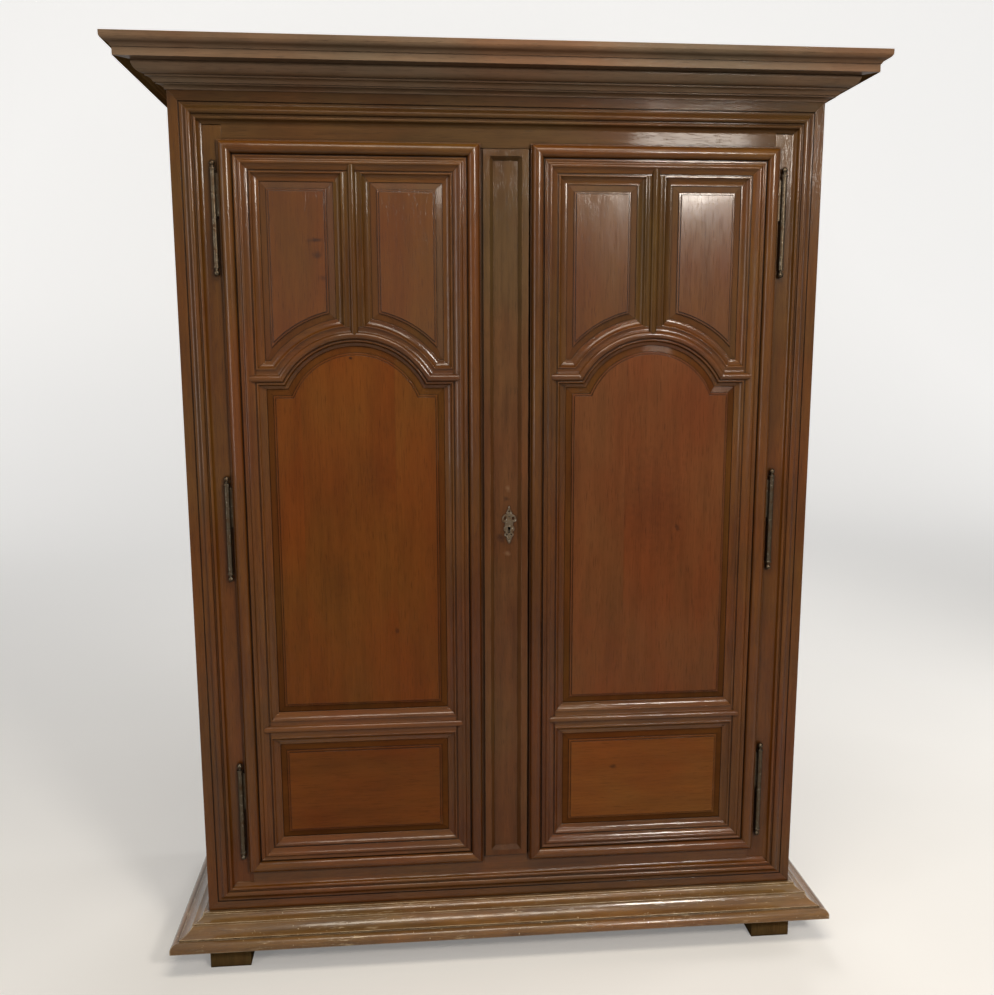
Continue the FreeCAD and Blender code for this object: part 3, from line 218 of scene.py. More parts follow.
def boards(paint, place, seams):
    """A number for each board of a glued-up face, and the dark line of its seams."""
    number = paint.math("MULTIPLY", paint.node("ObjectInfo").outputs["Random"], 7.3)
    line = None
    axis, levels = seams
    coordinate = paint.node("SeparateXYZ", {0: place}).outputs[axis]
    for step, level in enumerate(levels, start=1):
        beyond = paint.math("GREATER_THAN", coordinate, level)
        number = paint.math("ADD", number, paint.math("MULTIPLY", beyond, 1.37 + 0.31 * step))
        gap = paint.math("ABSOLUTE", paint.math("SUBTRACT", coordinate, level))
        near = paint.spread(gap, SEAM_HALF, SEAM_BLUR, 1.0, 0.0)
        line = near if line is None else paint.math("MAXIMUM", line, near)
    return number, line


def growth(paint, place, figure):
    """Tone from dark to light across growth bands, flames, fibres and patches, with the fibres and pores."""
    drift = paint.streaks(place, 3.0, 0.9, 3.0)
    wander = paint.node("CombineXYZ", {0: paint.math("MULTIPLY", drift, 0.22)}).outputs[0]
    banded = paint.vector("MULTIPLY", paint.vector("ADD", place, wander)[0], (1.0, 1.0, 0.05))[0]
    bands = paint.node("TexWave", {"Vector": banded, "Scale": 8.0, "Distortion": 3.0, "Detail": 2.0,
                                   "Detail Scale": 1.2}, wave_type="RINGS", rings_direction="Z").outputs[1]
    flames = paint.spread(paint.streaks(place, 62.0, 12.0, 3.0, 0.6), 0.36, 0.62)
    fibres = paint.streaks(place, 210.0, 6.0, 4.0, 0.62)
    pores = paint.spread(paint.streaks(place, 760.0, 30.0, 1.0), 0.60, 0.70)
    patches = paint.noise(place, 3.4, 3.0)
    clouds = paint.streaks(place, 15.0, 2.6, 3.0)
    share = paint.sum((bands, 0.16 * figure), (flames, 0.20 * figure), (fibres, 0.42), (patches, 0.62),
                      (clouds, 0.46))
    return paint.spread(share, 0.44 + 0.14 * figure, 1.06 + 0.2 * figure), fibres, pores


# Tints that the tone drifts between, and the tint and levels of the painted light: greyer and less red towards
# the top
PLAIN = (1.0, 1.0, 1.0, 1.0)
RUDDY = (1.03, 0.90, 0.78, 1.0)
TAWNY = (0.96, 1.12, 1.15, 1.0)
COOL_LIGHT_TINT = (0.74, 1.02, 1.20, 1.0)
COOL_LIGHT_LOW = 1.05
COOL_LIGHT_HIGH = 1.85
# Colours of what lies on the wood. The dark wax colour also paints shade in quirks, corners and panel outlines,
# and the dust colour also paints sheen
DARK_WAX_AND_SHADE = (0.010, 0.0045, 0.0022, 1.0)
DUST_AND_SHEEN = (0.36, 0.27, 0.185, 1.0)
STAIN = (0.016, 0.0065, 0.003, 1.0)
GHOST = (0.20, 0.115, 0.062, 1.0)
# Wax and painted shade: how far they reach from a quirk and from a corner, and how the wax shines
QUIRK_REACH = 9 * MM
CORNER_REACH = 48 * MM
WAX_SHARE = 0.24
WAX_IN_QUIRKS = 0.02
WAX_ROUGHNESS = 0.09
SPECULAR_SHARE = 0.10
LEAST_ROUGHNESS = 0.13


def slopes(paint):
    """1 on a leaning face, such as the bevelled border of a panel, and 0 on a flat one."""
    facing = paint.vector("ABSOLUTE", paint.node("TexCoord").outputs["Normal"])[0]
    x, y, z = paint.node("SeparateXYZ", {0: facing}).outputs
    return paint.spread(paint.math("MAXIMUM", paint.math("MAXIMUM", x, y), z), 0.998, 0.985)


def lie(paint, place, grain, knots):
    """Places turned so that the grain runs along Z, and drawn in round each knot."""
    lying = place
    for knot in knots:
        pull = paint.spread(spot_distance(paint, place, knot), 0.0, 3.0, 0.75, 0.0)
        inwards = paint.vector("SUBTRACT", (knot.x, 0.0, knot.z), place)[0]
        bend = paint.node("CombineXYZ", {0: pull}).outputs[0]
        lying = paint.vector("ADD", lying, paint.vector("MULTIPLY", inwards, bend)[0])[0]
    return paint.node("Mapping", {"Vector": lying, "Rotation": GRAIN_TURN[grain]}).outputs[0]


def paint_cool_light(paint, place, colour, cool_light_share):
    """Painted light: greyer and less red towards the top, standing in for the cooler light that falls there."""
    level = paint.node("SeparateXYZ", {0: place}).outputs[2]
    share = paint.spread(level, COOL_LIGHT_LOW, COOL_LIGHT_HIGH, 0.0, cool_light_share)
    return paint.vector("MULTIPLY", colour, paint.mix(share, PLAIN, COOL_LIGHT_TINT))[0]


def scuffing(paint, board):
    """Scratches in rubbed patches, and specks."""
    scratch = paint.spread(paint.streaks(board, 130.0, 14.0, 5.0, 0.75), 0.58, 0.72)
    rubs = paint.spread(paint.noise(board, 9.0, 3.0), 0.44, 0.62)
    specks = paint.spread(paint.noise(board, 190.0, 1.0), 0.745, 0.79)
    return paint.math("MAXIMUM", paint.math("MULTIPLY", scratch, rubs), specks)


def settling_and_sheen(paint, board):
    """How thick dust lies on faces that look up; it also paints the sheen that lamps give those faces."""
    facing = paint.node("SeparateXYZ", {0: paint.node("NewGeometry").outputs["Normal"]}).outputs[2]
    thick = paint.spread(paint.streaks(board, 22.0, 5.0, 4.0, 0.65), 0.30, 0.72, 0.35, 1.0)
    return paint.math("MULTIPLY", paint.spread(facing, 0.12, 0.85), thick)


def relief(paint, scuffs, along, board, fibres, pores, normal):
    """The normal of a planed, rippled and dented surface."""
    planing = paint.streaks(along, 9.0, 4.0, 2.0)
    ripple = paint.streaks(board, 64.0, 20.0, 2.0)
    cells = paint.node("TexVoronoi", {"Vector": board, "Scale": 26.0, "Randomness": 1.0}).outputs
    chosen = paint.spread(paint.node("SeparateColor", {0: cells["Color"]}).outputs[0], 0.80, 0.82)
    dents = paint.math("MULTIPLY", paint.spread(cells["Distance"], 0.0, 0.16, 1.0, 0.0), chosen)
    height = paint.sum((fibres, 0.10), (planing, 1.5), (ripple, 0.22 + 0.3 * scuffs), (pores, -0.10),
                       (dents, -0.15 - 0.85 * scuffs))
    return paint.node("Bump", {"Strength": 0.6, "Distance": 1.0 * MM, "Height": height,
                               "Normal": normal}).outputs[0]


def wood(name, grain, look, seams=(0, ()), knots=(), stains=(), ghosts=()):
    """Old waxed wood: figure along the grain, quirks darkened by old wax and painted shade, pale edges from
    rubbing with painted highlight, dents, dust that also paints sheen, a painted cooler light towards the top,
    and marks.
    """
    paint = Paint(name)
    place = paint.node("TexCoord").outputs["Object"]
    number, seam = boards(paint, place, seams)
    shift = paint.node("CombineXYZ", {0: number, 1: number, 2: number}).outputs[0]
    along = lie(paint, place, grain, knots)
    board = paint.vector("ADD", along, shift)[0]
    tone, fibres, pores = growth(paint, board, look.figure)
    colour = paint.mix(tone, (*look.dark, 1.0), (*look.light, 1.0))
    if look.border:
        lean = slopes(paint)
        colour = paint.mix(lean, colour, paint.mix(tone, *((*border, 1.0) for border in look.border)))
    drift = paint.spread(paint.streaks(board, 7.0, 3.0, 3.0), 0.34, 0.66)
    colour = paint.vector("MULTIPLY", colour, paint.mix(drift, RUDDY, TAWNY))[0]
    # Painted light: a cooler tint towards the top, for the cooler light falling there
    if look.cool_light_share:
        colour = paint_cool_light(paint, place, colour, look.cool_light_share)
    deep = tuple(value * 0.35 for value in look.dark)
    colour = paint.mix(paint.math("MULTIPLY", pores, 0.4), colour, (*deep, 1.0))
    if seam is not None:
        colour = paint.mix(paint.math("MULTIPLY", seam, look.seam), colour, DARK_WAX_AND_SHADE)
    for marks, soft, tint in ((knots, 0.7, STAIN), (stains, 0.9, STAIN), (ghosts, 0.9, GHOST)):
        if marks:
            colour = paint.mix(spots(paint, place, marks, soft), colour, tint)

    # Dark old wax and painted shade darken the quirks and corners, and hands and cloths rub the edges pale, with
    # painted highlight on them
    open_sky = crevices(paint, QUIRK_REACH)
    sunk = crevices(paint, CORNER_REACH)
    # Dark old wax and painted shade: strong near quirks, softer towards corners
    quirk_wax_and_shade = paint.math("MULTIPLY", paint.spread(open_sky, 0.88, 0.42), 0.96 * look.grime_and_shade)
    corner_wax_and_shade = paint.math("MULTIPLY", paint.spread(sunk, 0.92, 0.35), 0.40 * look.grime_and_shade)
    colour = paint.mix(paint.math("MAXIMUM", quirk_wax_and_shade, corner_wax_and_shade), colour, DARK_WAX_AND_SHADE)
    normal, turn = edges(paint, look.edge * MM)
    if look.border:
        # Painted shade: a dark line along each edge of a panel, such as where its field meets its bevel
        painted_edge_shade = paint.math("MULTIPLY", paint.spread(turn, 0.9990, 0.9930), 0.5)
        colour = paint.mix(painted_edge_shade, colour, DARK_WAX_AND_SHADE)
    # Pale edges from rubbing and painted highlight, on open edges only
    edge = paint.spread(turn, 0.995, 0.90)
    rubbed = paint.spread(paint.streaks(board, 30.0, 9.0, 4.0, 0.7), 0.58 - 0.3 * look.wear_and_highlight_share, 0.66)
    open_edge = paint.math("MULTIPLY", edge, paint.spread(open_sky, 0.45, 0.85))
    wear_and_highlight = paint.math("MULTIPLY", paint.math("MULTIPLY", open_edge, rubbed), look.wear_and_highlight_share)
    if look.scuffs:
        wear_and_highlight = paint.math("MAXIMUM", wear_and_highlight, paint.math("MULTIPLY", scuffing(paint, board), look.scuffs))
    colour = paint.mix(wear_and_highlight, colour, (*look.wear_and_highlight, 1.0))
    settled_and_sheen = 0.0
    # Dust on faces that look up, partly real and partly painted sheen
    if look.dust_and_sheen:
        settled_and_sheen = paint.math("MULTIPLY", settling_and_sheen(paint, board), look.dust_and_sheen)
        colour = paint.mix(settled_and_sheen, colour, DUST_AND_SHEEN)

    # Waxed by hand over an uneven surface
    rough = paint.sum((fibres, 0.16), (quirk_wax_and_shade, 0.25), (wear_and_highlight, 0.18))
    rough = paint.math("ADD", rough, paint.math("MULTIPLY", settled_and_sheen, 0.30))
    rough = paint.math("ADD", rough, max(0.50 - 0.34 * look.gloss, LEAST_ROUGHNESS))
    wax = paint.spread(quirk_wax_and_shade, 0.0, 0.8, WAX_SHARE * look.gloss, WAX_IN_QUIRKS)
    if look.border:
        rough = paint.math("ADD", rough, paint.math("MULTIPLY", lean, 0.30))
        wax = paint.math("MULTIPLY", wax, paint.spread(lean, 0.0, 1.0, 1.0, 0.2))
    bump = relief(paint, look.scuffs, along, board, fibres, pores, normal)
    return paint.surface(Base_Color=colour, Roughness=rough, Normal=bump, Coat_Weight=wax,
                         Coat_Roughness=WAX_ROUGHNESS, Coat_Normal=bump,
                         Specular_IOR_Level=SPECULAR_SHARE * look.gloss)


IRON_CREVICE_DARK = (0.012, 0.009, 0.007, 1.0)
BRIGHT_IRON = (0.36, 0.33, 0.27, 1.0)


def iron(name, plain, rusty, bright_share):
    """Forged iron: hammered and brown-black, with rust in patches, rubbed bright on its edges."""
    paint = Paint(name)
    place = paint.node("TexCoord").outputs["Object"]
    hammer = paint.noise(place, 240.0, 3.0)
    rust = paint.spread(paint.noise(place, 70.0, 4.0, 0.65), 0.50, 0.68)
    colour = paint.mix(rust, (*plain, 1.0), (*rusty, 1.0))
    # Darker in its crevices, towards near black
    colour = paint.mix(paint.spread(crevices(paint, 5 * MM), 0.75, 0.25), colour, IRON_CREVICE_DARK)
    normal, turn = edges(paint, 0.9 * MM)
    edge = paint.spread(turn, 1.0, 0.84)
    patches = paint.spread(paint.noise(place, 190.0, 2.0), 0.60, 0.70)
    bright = paint.math("MAXIMUM", paint.math("MULTIPLY", edge, 0.35),
                        paint.math("MULTIPLY", patches, bright_share))
    colour = paint.mix(bright, colour, BRIGHT_IRON)
    rough = paint.math("ADD", paint.spread(hammer, 0.2, 0.8, 0.30, 0.50), paint.math("MULTIPLY", rust, 0.18))
    bump = paint.node("Bump", {"Strength": 0.7, "Distance": 0.5 * MM, "Height": hammer,
                               "Normal": normal}).outputs[0]
    return paint.surface(Base_Color=colour, Roughness=rough, Metallic=1.0, Normal=bump)


# Kinds of wood on the cupboard
DARK = (0.062, 0.0180, 0.0028)
LIGHT = (0.138, 0.0455, 0.0075)
BORDER = ((0.046, 0.0140, 0.0023), (0.105, 0.0345, 0.0060))
STRIP_BORDER = ((0.042, 0.0150, 0.0040), (0.100, 0.0400, 0.0120))
LOOKS = {
    "walnut": Look(LIGHT, DARK, cool_light_share=0.55),
    "post": Look(LIGHT, DARK, cool_light_share=1.0),
    "meeting": Look((0.116, 0.0365, 0.0056), (0.051, 0.0142, 0.0020), cool_light_share=0.55),
    "polished": Look((0.155, 0.0510, 0.0066), (0.060, 0.0178, 0.0020), gloss=1.4, cool_light_share=0.5),
    "arch": Look((0.122, 0.0370, 0.0050), (0.049, 0.0135, 0.0016), gloss=1.3, cool_light_share=0.4),
    "muntin": Look((0.105, 0.0350, 0.0058), (0.048, 0.0140, 0.0021), gloss=0.6, cool_light_share=1.0),
    # Frieze rail: darker tones, painted shade for the shadow the cornice casts on it
    "top_rail": Look((0.084, 0.0380, 0.0120), (0.040, 0.0165, 0.0048), wear_and_highlight_share=0.35, gloss=0.5),
    # Cornice: tones raised and bluer, painted light and painted reflected haze on its downward faces
    "shaded": Look((0.158, 0.0950, 0.0600), (0.084, 0.0500, 0.0300), wear_and_highlight_share=0.5, gloss=0.5, grime_and_shade=0.7),
    "strip": Look((0.122, 0.0460, 0.0140), (0.050, 0.0170, 0.0040), figure=0.6, wear_and_highlight_share=0.5, gloss=0.8, edge=2.2,
                  border=STRIP_BORDER, cool_light_share=0.8),
    "walnut_panel": Look((0.139, 0.0405, 0.0056), (0.077, 0.0212, 0.0028), figure=0.5, wear_and_highlight_share=0.25, gloss=0.5,
                         seam=0.15, edge=2.6, border=BORDER),
    "red_panel": Look((0.140, 0.0410, 0.0110), (0.078, 0.0235, 0.0060), figure=0.5, wear_and_highlight_share=0.25, gloss=0.6,
                      seam=0.15, edge=2.6, border=BORDER),
    "pale_panel": Look((0.182, 0.0590, 0.0100), (0.102, 0.0315, 0.0050), figure=0.5, wear_and_highlight_share=0.25, gloss=0.5,
                       seam=0.15, edge=2.6, border=BORDER),
    "upper_panel": Look((0.122, 0.0360, 0.0048), (0.066, 0.0180, 0.0022), figure=0.5, wear_and_highlight_share=0.25, gloss=1.5,
                        seam=0.0, edge=2.6, border=BORDER, cool_light_share=0.55),
    # Base: its very pale edge colour paints highlight along the arrises as well as rubbing, and its dust also
    # paints sheen
    "scuffed": Look((0.245, 0.1130, 0.0270), (0.054, 0.0220, 0.0040), wear_and_highlight_share=1.0, gloss=2.3, grime_and_shade=1.2, dust_and_sheen=0.10,
                    scuffs=0.9, edge=3.0, wear_and_highlight=(0.74, 0.58, 0.36)),
    "side_return": Look((0.150, 0.0780, 0.0290), (0.060, 0.0290, 0.0100), wear_and_highlight_share=0.8, gloss=0.0, scuffs=0.4),
    "inner_wood": Look((0.300, 0.1850, 0.0950), (0.150, 0.0800, 0.0370), figure=1.1, wear_and_highlight_share=0.3, gloss=0.1,
                       grime_and_shade=0.6),
    "foot_wood": Look((0.190, 0.1080, 0.0420), (0.080, 0.0430, 0.0160), figure=0.5, gloss=0.0, scuffs=0.5,
                      edge=2.4),
}
# Boards whose look isn't that of their material slot
NODES_OF_KIND = {
    "post": "left_front_post right_front_post",
    "meeting": "left_meeting_stile right_meeting_stile",
    "polished": "front_bottom_rail left_bottom_rail right_bottom_rail left_mid_rail right_mid_rail",
    "arch": "left_arch_rail right_arch_rail",
    "muntin": "left_muntin right_muntin",
    "top_rail": "front_top_rail",
    "shaded": "cornice_front",
    "strip": "centre_strip",
    "red_panel": "right_main_panel",
    "pale_panel": "right_lower_panel",
    "upper_panel": "left_upper_panels right_upper_panels",
    "scuffed": "base_front base_left base_right",
    "side_return": "cornice_left cornice_right",
}
KIND_OF = {node: kind for kind, nodes in NODES_OF_KIND.items() for node in nodes.split()}


def between(node, axis, shares):
    """Places of the seams across a node, as shares of its extent along an axis."""
    low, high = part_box(node)
    return axis, tuple(low[axis] + share * (high[axis] - low[axis]) for share in shares)


# Faces that are glued up from boards: the axis across the boards, and the shares of the face where the seams lie
ACROSS, DEEP = 0, 1
BACK_BOARD_COUNT = 8
SEAM_SHARES = {
    "left_main_panel": (ACROSS, (0.20, 0.71)),
    "right_main_panel": (ACROSS, (0.36,)),
    "left_upper_panels": (ACROSS, (0.5,)),
    "right_upper_panels": (ACROSS, (0.5,)),
    "left_side_panels": (DEEP, (0.46,)),
    "right_side_panels": (DEEP, (0.55,)),
    "back_boards": (ACROSS, tuple(step / BACK_BOARD_COUNT for step in range(1, BACK_BOARD_COUNT))),
    "floor_boards": (DEEP, (0.24, 0.52, 0.77)),
    "dust_top": (DEEP, (0.22, 0.48, 0.75)),
    "lower_shelf": (DEEP, (0.36, 0.68)),
    "middle_shelf": (DEEP, (0.31, 0.66)),
    "upper_shelf": (DEEP, (0.40, 0.71)),
}
SEAMS = {node: between(node, axis, shares) for node, (axis, shares) in SEAM_SHARES.items()}
# Marks of age on the front faces, in metres
KNOTS = {
    "left_main_panel": [Spot(-0.359, 1.497, 0.0055, 0.0040, 0.95), Spot(-0.262, 0.845, 0.006, 0.010, 0.5)],
    "right_main_panel": [Spot(0.420, 1.085, 0.008, 0.013, 0.5)],
    "right_lower_panel": [Spot(0.270, 0.475, 0.012, 0.007, 0.6)],
}
STAINS = {
    "left_upper_panels": [Spot(-0.432, 1.760, 0.020, 0.0060, 0.8), Spot(-0.427, 1.728, 0.014, 0.010, 0.6),
                          Spot(-0.416, 1.676, 0.012, 0.008, 0.5)],
    "centre_strip": [Spot(-0.013, 1.068, 0.016, 0.013, 0.8), Spot(0.001, 1.163, 0.009, 0.008, 0.6),
                     Spot(0.008, 1.096, 0.030, 0.060, 0.4)],
    "left_main_panel": [Spot(-0.30, 1.22, 0.05, 0.09, 0.16), Spot(-0.40, 0.98, 0.04, 0.07, 0.16)],
    "right_main_panel": [Spot(0.36, 1.15, 0.09, 0.16, 0.22)],
}
GHOSTS = {
    "centre_strip": [Spot(0.006, 1.188, 0.007, 0.013, 0.45), Spot(0.004, 1.030, 0.009, 0.008, 0.4)],
}
slot_of = {entry["node"]: entry["material_slot"] for entry in frame["record"]["subparts"]}
IRON = iron("forged_iron", (0.066, 0.050, 0.033), (0.050, 0.025, 0.011), 0.3)
RUBBED_IRON = iron("rubbed_iron", (0.120, 0.088, 0.058), (0.075, 0.038, 0.016), 1.0)
finishes = {}


def finish_of(node):
    """The material of a board, by its kind, the way its grain runs, and its own seams and marks."""
    if slot_of[node] == "iron":
        return IRON
    kind = KIND_OF.get(node, slot_of[node])
    grain = "Z" if node in UPRIGHT else "Y" if node in FRONT_TO_BACK else "X"
    own = {name: table[node] for name, table in (("seams", SEAMS), ("knots", KNOTS), ("stains", STAINS),
                                                 ("ghosts", GHOSTS)) if node in table}
    if own:
        return wood(f"{node}_wood", grain, LOOKS[kind], **own)
    if (kind, grain) not in finishes:
        finishes[kind, grain] = wood(f"{kind}_{grain.lower()}", grain, LOOKS[kind])
    return finishes[kind, grain]


for name, shown in NODES.items():
    shown.data.materials.clear()
    shown.data.materials.append(finish_of(name))


def add_piece(name, mesh, body, material):
    """Hang a finished mesh on a body of the frame."""
    mesh.materials.append(material)
    piece = bpy.data.objects.new(name, mesh)
    bpy.context.scene.collection.objects.link(piece)
    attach(piece, body)
    return piece


# Escutcheon: the room that its solid takes up
PLATE_LOW, PLATE_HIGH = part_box("escutcheon")
PLATE_MIDDLE = (PLATE_LOW + PLATE_HIGH) / 2
PLATE_HALF_HEIGHT = (PLATE_HIGH.z - PLATE_LOW.z) / 2
PLATE_HALF_WIDTH = (PLATE_HIGH.x - PLATE_LOW.x) / 2
PLATE_THICKNESS = PLATE_HIGH.y - PLATE_LOW.y
# Right half of its outline, from the crest down. Each corner: share of the half width, share of the half height,
# and whether the line turns sharply there
PLATE_SHARES = [
    (0.00, 1.00, True), (0.24, 0.80, False), (0.46, 0.66, True), (0.28, 0.60, True), (0.62, 0.60, False),
    (0.98, 0.46, False), (0.92, 0.28, False), (0.62, 0.27, True), (0.56, 0.14, False), (0.80, -0.02, False),
    (0.66, -0.18, False), (0.46, -0.24, True), (0.66, -0.36, False), (0.58, -0.50, False), (0.34, -0.56, True),
    (0.35, -0.68, False), (0.22, -0.84, False), (0.00, -1.00, True),
]
# Openings: middle, half width and half height, in the same shares
EYE_SHARES = [(0.58, 0.44, 0.18, 0.085), (-0.58, 0.44, 0.18, 0.085), (0.0, 0.74, 0.10, 0.045),
              (0.33, -0.40, 0.11, 0.05), (-0.33, -0.40, 0.11, 0.05)]
TAIL_SHARE = 0.7
KEYHOLE_RADIUS = 3.5 * MM
KEYHOLE_SLOT_HALF = 1.7 * MM
KEYHOLE_SLOT_END = 12 * MM
PLATE_EDGE = 0.45 * MM
PLATE_ROUNDING = 2
RIM_RADIUS = 0.9 * MM
RIM_ACROSS_SHARE = 1.25
RIM_ALONG_SHARE = 1.12
EYE_CORNERS = 6
KEYHOLE_STEPS = 8
CURVE_STEPS = 5


def plate_level(share):
    """Height on the plate above its keyhole: the tail below it is shorter than the crest."""
    return share * PLATE_HALF_HEIGHT * (1.0 if share > 0 else TAIL_SHARE)


def add_loop(curve, corners):
    """A closed loop of a flat curve. Each corner is (x, z, sharp)."""
    spline = curve.splines.new("BEZIER")
    spline.bezier_points.add(len(corners) - 1)
    spline.use_cyclic_u = True
    spline.resolution_u = CURVE_STEPS
    for point, (x, z, sharp) in zip(spline.bezier_points, corners):
        point.co = (x, z, 0.0)
        kind = "VECTOR" if sharp else "AUTO"
        point.handle_left_type = kind
        point.handle_right_type = kind


def keyhole_corners():
    """A round eye with a slot below it."""
    start = math.asin(KEYHOLE_SLOT_HALF / KEYHOLE_RADIUS)
    turns = [start + step * (math.tau - 2 * start) / KEYHOLE_STEPS for step in range(KEYHOLE_STEPS + 1)]
    eye = [(-KEYHOLE_RADIUS * math.sin(turn), -KEYHOLE_RADIUS * math.cos(turn), step in (0, KEYHOLE_STEPS))
           for step, turn in enumerate(turns)]
    return eye + [(side * KEYHOLE_SLOT_HALF, -KEYHOLE_SLOT_END, True) for side in (1, -1)]


def curve_mesh(curve, depth):
    """The solid of a flat curve, stood upright in front of the strip at a depth."""
    drawing = bpy.data.objects.new(curve.name, curve)
    bpy.context.scene.collection.objects.link(drawing)
    graph = bpy.context.evaluated_depsgraph_get()
    mesh = bpy.data.meshes.new_from_object(drawing.evaluated_get(graph))
    bpy.data.objects.remove(drawing)
    bpy.data.curves.remove(curve)
    stood = Matrix.Rotation(math.radians(90), 4, "X")
    mesh.transform(Matrix.Translation((PLATE_MIDDLE.x, depth, PLATE_MIDDLE.z)) @ stood)
    return mesh


def escutcheon():
    """Pierced plate with a pointed crest, scrolled shoulders and a narrow tail, and a rim round its keyhole."""
    plate = bpy.data.curves.new("plate", "CURVE")
    plate.dimensions = "2D"
    plate.fill_mode = "BOTH"
    right = [(x * PLATE_HALF_WIDTH, plate_level(z), sharp) for x, z, sharp in PLATE_SHARES]
    left = [(-x, z, sharp) for x, z, sharp in reversed(right[1:-1])]
    add_loop(plate, right + left)
    for x, z, across, along in EYE_SHARES:
        turns = [math.tau * step / EYE_CORNERS for step in range(EYE_CORNERS)]
        add_loop(plate, [((x + across * math.cos(turn)) * PLATE_HALF_WIDTH,
                          plate_level(z + along * math.sin(turn)), False) for turn in turns])
    add_loop(plate, keyhole_corners())
    plate.extrude = PLATE_THICKNESS / 2 - PLATE_EDGE
    plate.bevel_depth = PLATE_EDGE
    plate.bevel_resolution = PLATE_ROUNDING
    plate.offset = -PLATE_EDGE
    made = add_piece("escutcheon_plate", curve_mesh(plate, PLATE_MIDDLE.y), "left_door", RUBBED_IRON)
    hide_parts("escutcheon")
    rim = bpy.data.curves.new("rim", "CURVE")
    rim.dimensions = "3D"
    add_loop(rim, [(x * RIM_ACROSS_SHARE, z * RIM_ALONG_SHARE, sharp) for x, z, sharp in keyhole_corners()])
    rim.bevel_depth = RIM_RADIUS
    rim.bevel_resolution = PLATE_ROUNDING
    add_piece("keyhole_rim", curve_mesh(rim, PLATE_LOW.y), "left_door", RUBBED_IRON)


escutcheon()

# Nail heads
NAIL_SIDES = 7
NAIL_SUNK = 0.3 * MM
FORWARD = (0, -1, 0)
BACKWARD = (0, 1, 0)


@dataclass
class Nail:
    """Size of a nail's head, and the seed of its uneven shapes."""

    radius: float
    rise: float
    seed: int


BOARD_NAIL = Nail(4.2 * MM, 1.6 * MM, 11)
PLATE_NAIL = Nail(2.1 * MM, 1.3 * MM, 5)
LOCK_RIVET = Nail(3.2 * MM, 1.5 * MM, 3)
# Two nails to a rail on each board: share of the board's width, and height above the rail's middle
BOARD_NAIL_PLACES = ((0.22, 12 * MM), (0.78, -9 * MM))
PLATE_NAIL_SHARES = (0.53, -0.70)
RIVET_INSET = 8 * MM


def nail_heads(name, body, places, facing, nail):
    """Forged heads: low domes with hammered facets, each a little different."""
    draw = random.Random(nail.seed)
    shape = bmesh.new()
    turn = UP.rotation_difference(Vector(facing)).to_matrix()
    for place in places:
        spin = draw.uniform(0, math.tau)
        rings = []
        for reach, level in ((0.9, -NAIL_SUNK), (1.0, nail.rise * 0.25), (0.62, nail.rise * 0.85)):
            ring = []
            for side in range(NAIL_SIDES):
                angle = spin + math.tau * side / NAIL_SIDES
                out = nail.radius * reach * draw.uniform(0.88, 1.08)
                corner = Vector((out * math.cos(angle), out * math.sin(angle), level))
                ring.append(shape.verts.new(Vector(place) + turn @ corner))
            rings.append(ring)
        peak = Vector((draw.uniform(-0.2, 0.2) * nail.radius, draw.uniform(-0.2, 0.2) * nail.radius, nail.rise))
        tip = shape.verts.new(Vector(place) + turn @ peak)
        shape.faces.new(list(reversed(rings[0])))
        for lower, upper in zip(rings, rings[1:]):
            for side in range(NAIL_SIDES):
                after = (side + 1) % NAIL_SIDES
                shape.faces.new((lower[side], lower[after], upper[after], upper[side]))
        for side in range(NAIL_SIDES):
            shape.faces.new((rings[-1][side], rings[-1][(side + 1) % NAIL_SIDES], tip))
    bmesh.ops.recalc_face_normals(shape, faces=shape.faces)
    mesh = bpy.data.meshes.new(name)
    shape.to_mesh(mesh)
    shape.free()
    add_piece(name, mesh, body, IRON)


def back_nails():
    """Two nails through each back board into the upper and the lower back rail."""
    low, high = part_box("back_boards")
    pitch = (high.x - low.x) / BACK_BOARD_COUNT
    levels = [sum((corner.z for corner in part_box(rail)), 0.0) / 2
              for rail in ("back_bottom_rail", "back_top_rail")]
    places = [(low.x + (board + share) * pitch, high.y, level + above)
              for board in range(BACK_BOARD_COUNT) for share, above in BOARD_NAIL_PLACES for level in levels]
    nail_heads("back_board_nails", "case", places, BACKWARD, BOARD_NAIL)


def plate_nails():
    """Two nails on the upright middle of the escutcheon."""
    places = [(PLATE_MIDDLE.x, PLATE_LOW.y, PLATE_MIDDLE.z + plate_level(share)) for share in PLATE_NAIL_SHARES]
    nail_heads("escutcheon_nails", "left_door", places, FORWARD, PLATE_NAIL)


def lock_rivets():
    """A rivet near each corner of the lock's inner face."""
    low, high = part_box("lock_case")
    places = [(x, high.y, z) for x in (low.x + RIVET_INSET, high.x - RIVET_INSET)
              for z in (low.z + RIVET_INSET, high.z - RIVET_INSET)]
    nail_heads("lock_rivets", "left_door", places, BACKWARD, LOCK_RIVET)


back_nails()
plate_nails()
lock_rivets()

# Floor and backdrop in one sweep
SWEEP_HALF = 26.0
SWEEP_FRONT = -26.0
SWEEP_BACK = 7.5
SWEEP_TOP = 16.0
SWEEP_RADIUS = 2.6
SWEEP_STEPS = 24
# Colour of the stage as it is seen, and as it lights the cupboard; the dim light of the room
PALE = (0.72, 0.715, 0.705)
BOUNCE = (0.34, 0.32, 0.29)
DIM = (0.09, 0.085, 0.078)
# Brightening of the stage by its distance from the cupboard, and towards the backdrop
GLOW = (1.0, 0.995, 0.985, 1.0)
GLOW_NEAR, GLOW_FAR = 1.2, 9.0
GLOW_LEAST, GLOW_MOST = 0.18, 0.68
BACKDROP_NEAR, BACKDROP_FAR = 0.5, 6.0
BACKDROP_GLOW = 0.10


